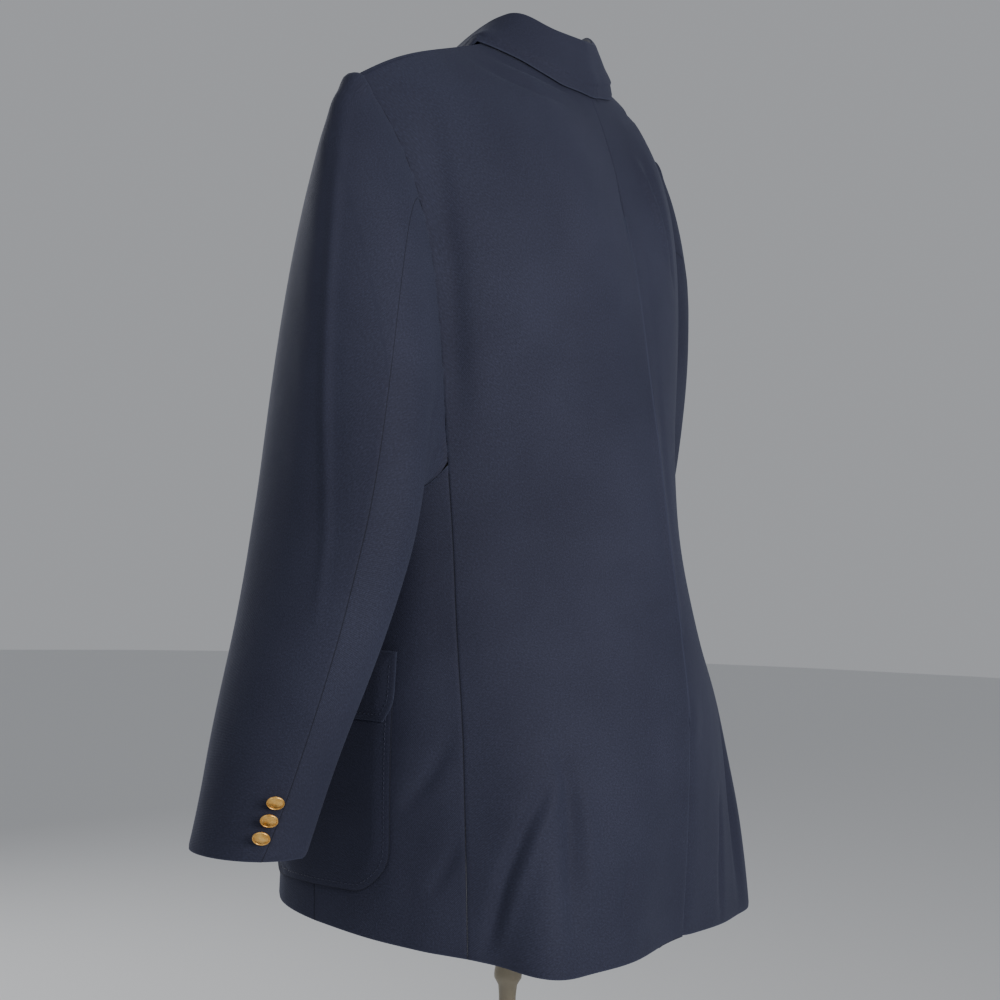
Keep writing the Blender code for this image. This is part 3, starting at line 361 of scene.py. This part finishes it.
def gilt_brass():
    """Stamped brass with a lacquered gilt: warm and satin, its tone and roughness varying in small patches.
    """
    material, tree, shader = shaded(
        "lacquered_gilt_brass", 0.42, Metallic=0.78, Coat_Weight=0.25, Coat_Roughness=0.2)
    spot = add_node(tree, "ShaderNodeTexCoord").outputs["Object"]
    stain = add_node(tree, "ShaderNodeTexNoise", None, Vector=spot, Scale=260.0, Detail=4.0, Roughness=0.6)
    tone = add_node(tree, "ShaderNodeValToRGB", None, Fac=stain.outputs["Fac"])
    ramp_colours(tone, ((0.30, "#D09A48"), (0.55, "#F0C069"), (0.80, "#F8D690")))
    tree.links.new(tone.outputs["Color"], shader.inputs["Base Color"])
    scuff = add_node(tree, "ShaderNodeMapRange", None, Value=stain.outputs["Fac"], From_Min=0.3, From_Max=0.7,
                     To_Min=0.34, To_Max=0.50)
    tree.links.new(scuff.outputs["Result"], shader.inputs["Roughness"])
    dent = add_node(tree, "ShaderNodeBump", None, Strength=0.12, Distance=0.0003, Height=stain.outputs["Fac"])
    tree.links.new(dent.outputs["Normal"], shader.inputs["Normal"])
    return material


def linen_cover():
    """Undyed linen stretched over the form: plain weave with slubs, matt."""
    material, tree, shader = shaded("undyed_linen", 0.88, Sheen_Weight=0.08, Specular_IOR_Level=0.25)
    spot = add_node(tree, "ShaderNodeTexCoord").outputs["Object"]
    across = add_node(tree, "ShaderNodeMapping", None, Vector=spot, Scale=(900.0, 900.0, 90.0))
    along = add_node(tree, "ShaderNodeMapping", None, Vector=spot, Scale=(90.0, 90.0, 900.0))
    warp = add_node(tree, "ShaderNodeTexNoise", None, Vector=across.outputs["Vector"], Scale=1.0, Detail=2.0)
    weft = add_node(tree, "ShaderNodeTexNoise", None, Vector=along.outputs["Vector"], Scale=1.0, Detail=2.0)
    weave = add_node(tree, "ShaderNodeMath", {"operation": "MULTIPLY"}, at_0=warp.outputs["Fac"],
                     at_1=weft.outputs["Fac"])
    tone = add_node(tree, "ShaderNodeValToRGB", None, Fac=weave.outputs["Value"])
    ramp_colours(tone, ((0.14, "#A79C86"), (0.26, "#C3B9A4"), (0.40, "#D3CAB7")))
    tree.links.new(tone.outputs["Color"], shader.inputs["Base Color"])
    bump = add_node(tree, "ShaderNodeBump", None, Strength=0.35, Distance=0.0006,
                    Height=weave.outputs["Value"])
    tree.links.new(bump.outputs["Normal"], shader.inputs["Normal"])
    return material


def painted_steel():
    """Khaki powder coat over steel: satin, with a fine orange-peel."""
    material, tree, shader = shaded("khaki_powder_coat", 0.48, Specular_IOR_Level=0.5)
    spot = add_node(tree, "ShaderNodeTexCoord").outputs["Object"]
    peel = add_node(tree, "ShaderNodeTexNoise", None, Vector=spot, Scale=700.0, Detail=2.0)
    shade = add_node(tree, "ShaderNodeTexNoise", None, Vector=spot, Scale=14.0, Detail=5.0, Roughness=0.65)
    tone = add_node(tree, "ShaderNodeValToRGB", None, Fac=shade.outputs["Fac"])
    ramp_colours(tone, ((0.30, "#7B7464"), (0.60, "#8D8674"), (0.75, "#989180")))
    tree.links.new(tone.outputs["Color"], shader.inputs["Base Color"])
    bump = add_node(tree, "ShaderNodeBump", None, Strength=0.15, Distance=0.0003, Height=peel.outputs["Fac"])
    tree.links.new(bump.outputs["Normal"], shader.inputs["Normal"])
    return material


def shown(name, data, material):
    """Puts a finished mesh in the scene as a piece of the object."""
    piece = bpy.data.objects.new(name, data)
    bpy.context.scene.collection.objects.link(piece)
    data.materials.clear()
    data.materials.append(material)
    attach(piece, "root")
    return piece


def keep_corners(mesh):
    """Marks the points where the border turns sharply, so that rounding leaves them."""
    kept = mesh.verts.layers.float.new("crease_vert")
    for vert in mesh.verts:
        sides = [edge.other_vert(vert).co - vert.co for edge in vert.link_edges if edge.is_boundary]
        if len(sides) == 2 and sides[0].angle(sides[1]) < CORNER:
            vert[kept] = 1.0
    return mesh


def refined(mesh, levels):
    """The same surface with each face divided and rounded, its border kept."""
    data = bpy.data.meshes.new("coarse")
    mesh.to_mesh(data)
    mesh.free()
    rough = bpy.data.objects.new("coarse", data)
    bpy.context.scene.collection.objects.link(rough)
    finer = rough.modifiers.new("finer", "SUBSURF")
    finer.levels = finer.render_levels = levels
    finer.boundary_smooth = "PRESERVE_CORNERS"
    made = bpy.data.meshes.new_from_object(rough.evaluated_get(bpy.context.evaluated_depsgraph_get()))
    bpy.data.objects.remove(rough)
    bpy.data.meshes.remove(data)
    return made


def merged_copy(node):
    """A copy of a solid's mesh, its points merged and its triangles joined in pairs."""
    mesh = bmesh.new()
    mesh.from_mesh(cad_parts[node].data)
    bmesh.ops.remove_doubles(mesh, verts=mesh.verts, dist=MERGED_WITHIN)
    bmesh.ops.join_triangles(mesh, faces=mesh.faces, angle_face_threshold=FLAT_PAIR,
                             angle_shape_threshold=SQUARE_PAIR)
    return mesh


def outer_face(node, middle):
    """The outer face of a cloth solid as an open sheet that faces out.

    A face that joins a point to the point across the wall from it belongs to the rim.
    The rest are the outer and the inner skin.
    """
    mesh = merged_copy(node)
    mesh.verts.index_update()
    tree = KDTree(len(mesh.verts))
    for vert in mesh.verts:
        tree.insert(vert.co, vert.index)
    tree.balance()
    left = set()
    for face in mesh.faces:
        corners = {vert.index for vert in face.verts}
        across = {index for vert in face.verts
                  for _, index, gap in tree.find_range(vert.co, WALL + WALL_SLACK) if gap > WALL - WALL_SLACK}
        if not corners & across:
            left.add(face)
    best, best_flow = set(), 0.0
    while left:
        patch, waiting = set(), [left.pop()]
        while waiting:
            face = waiting.pop()
            patch.add(face)
            for edge in face.edges:
                for other in edge.link_faces:
                    if other in left:
                        left.discard(other)
                        waiting.append(other)
        flow = sum(face.calc_area() * face.normal.dot(face.calc_center_median() - middle) for face in patch)
        if flow > best_flow:
            best, best_flow = patch, flow
    bmesh.ops.delete(mesh, geom=[face for face in mesh.faces if face not in best], context="FACES")
    return mesh


def read_points(data):
    """The mesh's points, as rows of x, y and z."""
    points = np.empty(len(data.vertices) * 3)
    data.vertices.foreach_get("co", points)
    return points.reshape(-1, 3)


def read_normals(data):
    """The way each point of the mesh faces."""
    normals = np.empty(len(data.vertices) * 3)
    data.vertices.foreach_get("normal", normals)
    return normals.reshape(-1, 3)


def crease_cloth(data, creases):
    """Moves the points near each crease's line out or in, most in its middle."""
    points, normals = read_points(data), read_normals(data)
    shift = np.zeros(len(points))
    for line, width, depth in creases.values():
        stops = np.array(line)
        spans = np.diff(stops, axis=0)
        lengths = np.linalg.norm(spans, axis=1)
        starts = np.concatenate([[0.0], np.cumsum(lengths)])
        nearest = np.full(len(points), 1e9)
        along = np.zeros(len(points))
        for stop, span, length, start in zip(stops[:-1], spans, lengths, starts[:-1]):
            share = np.clip((points - stop) @ span / length ** 2, 0.0, 1.0)
            gap = np.linalg.norm(points - stop - share[:, None] * span, axis=1)
            closer = gap < nearest
            nearest[closer] = gap[closer]
            along[closer] = ((start + share * length) / starts[-1])[closer]
        taper = np.sin(math.pi * np.clip(along, CREASE_END, 1.0 - CREASE_END)) ** 0.5
        shift += CREASE_DEEPER * depth * taper * np.exp(-(nearest / width) ** 2)
    points += normals * shift[:, None]
    data.vertices.foreach_set("co", points.ravel())
    data.update()


def border_pairs(data):
    """The pairs of point numbers that make the sheet's border."""
    mesh = bmesh.new()
    mesh.from_mesh(data)
    pairs = [[vert.index for vert in edge.verts] for edge in mesh.edges if edge.is_boundary]
    mesh.free()
    return np.array(pairs)


def border_tree(points, rim):
    """The border's points, to find the one nearest to any point of the sheet."""
    tree = KDTree(len(rim))
    for order, index in enumerate(rim):
        tree.insert(points[index], order)
    tree.balance()
    return tree


def pull_border(data, rim, moves, reach):
    """Moves the border's points, and the points near them with them, less and less."""
    points = read_points(data)
    tree = border_tree(points, rim)
    for index, point in enumerate(points):
        _, order, gap = tree.find(point)
        if gap < reach:
            fade = 1.0 - gap / reach
            points[index] = point + moves[order] * fade * fade * (3.0 - 2.0 * fade)
    data.vertices.foreach_set("co", points.ravel())
    data.update()


def close_seams(pieces):
    """Brings each sheet's border onto the borders that it is sewn to, and notes where."""
    starts, ends = np.empty((0, 3)), np.empty((0, 3))
    owners = np.empty(0, dtype=object)
    for piece in pieces:
        data = piece["data"]
        pairs = border_pairs(data)
        rim = np.unique(pairs)
        points = read_points(data)
        along = np.zeros((len(points), 3))
        for first, second in pairs:
            way = points[second] - points[first]
            for index in (first, second):
                along[index] += way if way @ along[index] >= 0.0 else -way
        moves = np.zeros((len(rim), 3))
        spans = ends - starts
        squares = np.maximum((spans ** 2).sum(axis=1), 1e-12)
        apart = owners == LAPPED_OVER.get(piece["node"])
        for order, index in enumerate(rim):
            if not len(starts):
                break
            share = np.clip(((points[index] - starts) * spans).sum(axis=1) / squares, 0.0, 1.0)
            offsets = starts + share[:, None] * spans - points[index]
            gaps = np.linalg.norm(offsets, axis=1)
            gaps[apart] = SEAM_REACH
            nearest = gaps.argmin()
            line = spans[nearest] / squares[nearest] ** 0.5
            runs_with = abs(along[index] @ line) / (np.linalg.norm(along[index]) + 1e-9)
            mirrored = Vector(points[index])
            mirrored.x = abs(mirrored.x)
            loose = piece["round"] == "sleeve" and any(
                (mirrored - spot).length < LOOSE_REACH for spot in LOOSE_SPOTS)
            within = gaps[nearest] < SEAM_REACH and (loose or runs_with > SEAM_ALONG)
            if gaps[nearest] < SEAM_NEAR or within:
                moves[order] = offsets[nearest]
        pull_border(data, rim, moves, SEAM_PULL)
        points = read_points(data)
        starts = np.concatenate([starts, points[pairs[:, 0]]])
        ends = np.concatenate([ends, points[pairs[:, 1]]])
        owners = np.concatenate([owners, np.full(len(pairs), piece["node"], dtype=object)])


def joined_surface(pieces):
    """One surface of several sheets, to lay others on."""
    points, faces = [], []
    for piece in pieces:
        first = len(points)
        points += [Vector(point) for point in read_points(piece["data"])]
        faces += [[first + index for index in face.vertices] for face in piece["data"].polygons]
    return BVHTree.FromPolygons(points, faces)


def seat_border(data, surface, lift):
    """Presses a laid piece's border down onto the cloth under it."""
    rim = np.unique(border_pairs(data))
    points = read_points(data)
    moves = np.zeros((len(rim), 3))
    for order, index in enumerate(rim):
        near, normal, _, gap = surface.find_nearest(Vector(points[index]))
        if gap < LAID_REACH:
            height = (Vector(points[index]) - near).dot(normal)
            moves[order] = np.array(normal * (lift - height))
    pull_border(data, rim, moves, LAID_REACH)


def mark_weave_and_edges(data, middle, sewn, sewn_down):
    """Gives each point its distance from the free and the sewn border, and a weave map."""
    points = read_points(data)
    rim = np.unique(border_pairs(data))
    joined = np.array([sewn.find(points[index])[2] < SEAM_TOUCH for index in rim], dtype=bool)
    central = np.abs(points[rim, 0]) < CENTRE_SEAM
    high = points[rim, 2]
    unseen = joined & ((high > SHOULDER_HIDDEN_ABOVE) | (central & (high > CENTRE_HIDDEN_ABOVE)))
    # The borders that get the painted seam shade: sewn ones, but for the centre seam and the hidden tops, and
    # the whole border of a pocket. The other borders, but for the hidden tops, get the paler edge of wear and
    # painted highlight.
    painted_seam_shade = (joined & ~central & ~unseen) | sewn_down
    for name, chosen in (("edge", rim[~painted_seam_shade & ~unseen]), ("seam", rim[painted_seam_shade])):
        far = np.full(len(points), NOWHERE)
        if len(chosen):
            tree = border_tree(points, chosen)
            far = np.array([tree.find(point)[2] for point in points])
        data.attributes.new(name, "FLOAT", "POINT").data.foreach_set("value", far)
    out = points[:, :2] - np.array(middle[:2])
    reach = np.linalg.norm(out, axis=1)
    turn = np.arctan2(out[:, 0], -out[:, 1] if points[:, 1].mean() < middle.y else out[:, 1])
    weave = np.stack([turn * reach.mean(), points[:, 2] - WEAVE_SLANT * reach], axis=1)
    corners = np.empty(len(data.loops), dtype=np.int32)
    data.loops.foreach_get("vertex_index", corners)
    while data.uv_layers:
        data.uv_layers.remove(data.uv_layers[0])
    layer = data.uv_layers.new(name="weave")
    layer.data.foreach_set("uv", weave[corners].ravel())


def press_border(data):
    """Sinks the sheet's border a little, as pressing does at a seam or a turned edge."""
    rim = np.unique(border_pairs(data))
    points, normals = read_points(data), read_normals(data)
    points[rim] -= normals[rim] * EDGE_ROLL
    data.vertices.foreach_set("co", points.ravel())
    data.update()


def thickened(name, data):
    """Gives the sheet its thickness, inwards."""
    sheet = bpy.data.objects.new("sheet", data)
    bpy.context.scene.collection.objects.link(sheet)
    wall = sheet.modifiers.new("wall", "SOLIDIFY")
    wall.thickness = SHELL
    wall.offset = -1.0
    made = bpy.data.meshes.new_from_object(sheet.evaluated_get(bpy.context.evaluated_depsgraph_get()))
    bpy.data.objects.remove(sheet)
    made.name = name
    made.shade_smooth()
    made.set_sharp_from_angle(angle=CLOTH_SHARP)
    return made


def stitch_runs(data, from_edge, skip_above):
    """Evenly spaced places and directions along the sheet's border, in from its edge."""
    mesh = bmesh.new()
    mesh.from_mesh(data)
    surface = BVHTree.FromBMesh(mesh)
    rim = {edge for edge in mesh.edges if edge.is_boundary}
    line = []
    while rim:
        start = min(rim, key=lambda edge: edge.index)
        rim.discard(start)
        chain = [start.verts[0], start.verts[1]]
        growing = True
        while growing:
            follow = [edge for edge in chain[-1].link_edges if edge in rim]
            growing = bool(follow)
            if growing:
                rim.discard(follow[0])
                chain.append(follow[0].other_vert(chain[-1]))
        if len(chain) > len(line):
            line = chain
    middle = sum((vert.co for vert in mesh.verts), Vector()) / len(mesh.verts)
    corners = KDTree(len(line))
    for index, vert in enumerate(line):
        corners.insert(vert.co, index)
    corners.balance()
    inner = []
    for index, vert in enumerate(line):
        ahead = line[(index + 1) % len(line)].co - line[index - 1].co
        inward = vert.normal.cross(ahead.normalized())
        if inward.dot(middle - vert.co) < 0.0:
            inward.negate()
        near, normal, _, _ = surface.find_nearest(vert.co + inward * from_edge)
        clear = corners.find(near)[2] > from_edge * STITCH_CLEAR
        if clear and near.z < skip_above:
            inner.append((near, normal))
    mesh.free()
    runs, carried = [], 0.0
    pitch = STITCH_LONG + STITCH_GAP
    for (start, normal), (end, _) in zip(inner, inner[1:]):
        span = end - start
        if span.length > STITCH_BREAK:
            continue
        while carried < span.length:
            runs.append((start + span * (carried / span.length), span.normalized(), normal))
            carried += pitch
        carried -= span.length
    return runs


def buttonhole_runs(data, button):
    """Upright stitches close together, in a bar from a button back over the right front."""
    surface = joined_surface([{"data": data}])
    centre = button_place(button).translation
    runs = []
    for order in range(BUTTONHOLE_STITCHES):
        back = Vector((-BUTTONHOLE_FROM - order * BUTTONHOLE_PITCH, 0.0, 0.0))
        near, normal, _, _ = surface.find_nearest(centre + back)
        runs.append((near, Vector((0.0, 0.0, 1.0)), normal))
    return runs


def sew(name, runs, material, length=STITCH_LONG, thick=STITCH_THICK):
    """A row of stitches: each a short rounded thread that dips into the cloth at its ends."""
    mesh = bmesh.new()
    for place, along, normal in runs:
        side = normal.cross(along).normalized()
        turn = Matrix((along, side, normal)).transposed().to_4x4()
        turn.translation = place + normal * thick * STITCH_PROUD
        shape = turn @ Matrix.Diagonal((length * 0.5, thick, thick, 1.0))
        bmesh.ops.create_uvsphere(mesh, u_segments=8, v_segments=5, radius=1.0,
                                  matrix=shape @ Matrix.Rotation(math.pi / 2.0, 4, "Y"))
    data = bpy.data.meshes.new(name)
    mesh.to_mesh(data)
    mesh.free()
    data.shade_smooth()
    return shown(name, data, material)


def make_cloth(wool, thread):
    """Every cloth piece, with the stitches that show on it: the skins are taken from the
    solids, creased, sewn together, laid down, marked, stitched and given their thickness."""
    pieces = [dict(zip(CLOTH_COLUMNS, row)) for row in CLOTH_PIECES]
    for piece in pieces:
        low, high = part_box(piece["node"])
        side = 1 if (low.x + high.x) > 0.0 else -1
        piece["top"] = high.z
        piece["middle"] = SLEEVE_MIDDLE[side] if piece["round"] == "sleeve" else BODY_MIDDLE
        sheet = outer_face(piece["node"], piece["middle"])
        if piece["held"] == "hung":
            keep_corners(sheet)
        piece["data"] = refined(sheet, piece["levels"])
        crease_cloth(piece["data"], CREASES | SLEEVE_HEADS if piece["round"] == "sleeve" else CREASES)
    sewn = [piece for piece in pieces if piece["held"] == "hung"]
    close_seams(sewn)
    under = {side: joined_surface([piece for piece in sewn if not piece["node"].endswith(other)])
             for side, other in (("left", "_right"), ("right", "_left"), ("collar", "none"))}
    for piece in pieces:
        if piece["held"] != "hung":
            layers = 2 if piece["node"].startswith("flap") else 1
            seat_border(piece["data"], under[piece["node"].split("_")[-1]], layers * (SHELL + LAID_LIFT))
    rims = {piece["node"]: read_points(piece["data"])[np.unique(border_pairs(piece["data"]))]
            for piece in sewn}
    for piece in pieces:
        node, data = piece["node"], piece["data"]
        others = np.concatenate([rim for name, rim in rims.items() if name != node])
        # A pocket's whole border is given the painted shade line, for the shade under its edge
        mark_weave_and_edges(data, piece["middle"], border_tree(others, range(len(others))),
                             node.startswith("pocket"))
        if node in STITCHED:
            runs = stitch_runs(data, STITCH_FROM_EDGE, piece["top"] - STITCH_BELOW_TOP)
            sew("stitches_" + node, runs, thread)
        if node == "front_right":
            for button in ("front_button_1", "front_button_2"):
                runs = buttonhole_runs(data, button)
                sew("buttonhole_of_" + button, runs, thread, BUTTONHOLE_HIGH)
        press_border(data)
        made = shown("cloth_" + node, thickened("cloth_" + node, data), wool)
        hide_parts(node)


def lathe(name, profile, material, place=Matrix.Identity(4), scale=1.0, steps=48):
    """A turned piece: the profile of (radius, height) spun round its axis, then put in place."""
    mesh = bmesh.new()
    points = [mesh.verts.new((radius * scale, 0.0, height * scale)) for radius, height in profile]
    edges = [mesh.edges.new(pair) for pair in zip(points, points[1:])]
    bmesh.ops.spin(mesh, geom=points + edges, cent=(0.0, 0.0, 0.0), axis=(0.0, 0.0, 1.0),
                   dvec=(0.0, 0.0, 0.0), angle=math.tau, steps=steps, use_merge=True,
                   use_normal_flip=False, use_duplicate=False)
    bmesh.ops.remove_doubles(mesh, verts=mesh.verts, dist=1e-7)
    bmesh.ops.recalc_face_normals(mesh, faces=mesh.faces)
    bmesh.ops.transform(mesh, matrix=place, verts=mesh.verts)
    data = bpy.data.meshes.new(name)
    mesh.to_mesh(data)
    mesh.free()
    data.shade_smooth()
    data.set_sharp_from_angle(angle=TURNED_SHARP)
    return shown(name, data, material)


def button_place(node, droop=0.0, lift=0.0):
    """Where a button solid sits and which way it faces, read from its own flat form. A
    button on a shank stands off the cloth and droops."""
    points = read_points(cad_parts[node].data)
    centre = points.mean(axis=0)
    axis = Vector(np.linalg.svd(points - centre)[2][2])
    side = 1 if centre[0] > 0.0 else -1
    middle = BODY_MIDDLE if node.startswith("front") else SLEEVE_MIDDLE[side]
    if axis.dot(Vector(centre) - middle) < 0.0:
        axis.negate()
    low = min((Vector(point) - Vector(centre)).dot(axis) for point in points)
    base = Vector(centre) + axis * (low + lift)
    level = Vector((0.0, 0.0, 1.0)) - axis * axis.z
    axis = axis * math.cos(droop) - level.normalized() * math.sin(droop)
    turn = axis.to_track_quat("Z", "Y").to_matrix().to_4x4()
    turn.translation = base
    return turn


def make_buttons(brass):
    """The domed buttons, each a plain turned cap with a raised rim."""
    for node in sorted(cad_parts):
        if "button" not in node:
            continue
        if node.startswith("front"):
            place = button_place(node)
            cap = lathe("cap_" + node, BUTTON_PROFILE, brass, place, FRONT_BUTTON_RADIUS)
        else:
            place = button_place(node, SLEEVE_BUTTON_DROOP, SLEEVE_BUTTON_LIFT)
            profile = BUTTON_SHANK + BUTTON_PROFILE[1:]
            cap = lathe("cap_" + node, profile, brass, place, SLEEVE_BUTTON_RADIUS)
        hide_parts(node)


def make_stand(linen, steel):
    """The form under its linen, the pole and the base."""
    data = refined(merged_copy("dress_form"), 1)
    data.shade_smooth()
    data.set_sharp_from_angle(angle=COVER_SHARP)
    cover = shown("form_cover", data, linen)
    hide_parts("dress_form")
    pole = lathe("steel_pole", POLE_PROFILE, steel)
    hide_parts("pole")
    base = lathe("steel_base", BASE_PROFILE, steel, steps=96)
    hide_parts("base")


def make_camera():
    """The camera that took the photo, from the fitted place and angles."""
    turn, yaw, pitch, roll = (math.radians(a) for a in (CAMERA_TURN, CAMERA_YAW, CAMERA_PITCH, CAMERA_ROLL))
    right = Vector((-math.cos(turn), math.sin(turn), 0.0))
    ahead = Vector((-math.sin(turn), -math.cos(turn), 0.0))
    up = Vector((0.0, 0.0, 1.0))
    right, ahead = (right * math.cos(yaw) - ahead * math.sin(yaw),
                    right * math.sin(yaw) + ahead * math.cos(yaw))
    up, ahead = (up * math.cos(pitch) - ahead * math.sin(pitch),
                 up * math.sin(pitch) + ahead * math.cos(pitch))
    right, up = (right * math.cos(roll) + up * math.sin(roll),
                 -right * math.sin(roll) + up * math.cos(roll))
    data = bpy.data.cameras.new("camera")
    data.sensor_width = SENSOR_MM
    data.lens = FOCAL_PIXELS * SENSOR_MM / IMAGE_PIXELS
    camera = bpy.data.objects.new("camera", data)
    camera.matrix_world = Matrix((right, up, -ahead)).transposed().to_4x4()
    camera.matrix_world.translation = CAMERA_PLACE
    bpy.context.scene.collection.objects.link(camera)
    bpy.context.scene.camera = camera


def area_light(name, place, aim, side, power, colour):
    """A square soft light, turned to what it is aimed at."""
    data = bpy.data.lights.new(name, "AREA")
    data.shape = "RECTANGLE"
    data.size = data.size_y = side
    data.energy = power
    data.color = srgb(colour)[:3]
    lamp = bpy.data.objects.new(name, data)
    lamp.location = place
    lamp.rotation_euler = (Vector(aim) - Vector(place)).to_track_quat("-Z", "Y").to_euler()
    bpy.context.scene.collection.objects.link(lamp)


def make_studio():
    """A plain pale floor and soft light."""
    mesh = bmesh.new()
    bmesh.ops.create_circle(mesh, cap_ends=True, radius=FLOOR_RADIUS, segments=64)
    data = bpy.data.meshes.new("floor")
    mesh.to_mesh(data)
    mesh.free()
    material, _, shader = shaded("pale_floor", 0.9)
    shader.inputs["Base Color"].default_value = srgb(FLOOR_COLOUR)
    floor = bpy.data.objects.new("floor", data)
    data.materials.append(material)
    bpy.context.scene.collection.objects.link(floor)
    world = bpy.data.worlds.new("studio")
    bpy.context.scene.world = world
    world.use_nodes = True
    backdrop = world.node_tree.nodes["Background"]
    backdrop.inputs["Color"].default_value = srgb(BACKDROP_COLOUR)
    backdrop.inputs["Strength"].default_value = BACKDROP_STRENGTH
    for light in LIGHTS:
        area_light(*light)


def main():
    thread = sewing_thread()
    brass = gilt_brass()
    make_camera()
    make_cloth(worsted_wool(), thread)
    make_buttons(brass)
    make_stand(linen_cover(), painted_steel())
    make_studio()


main()
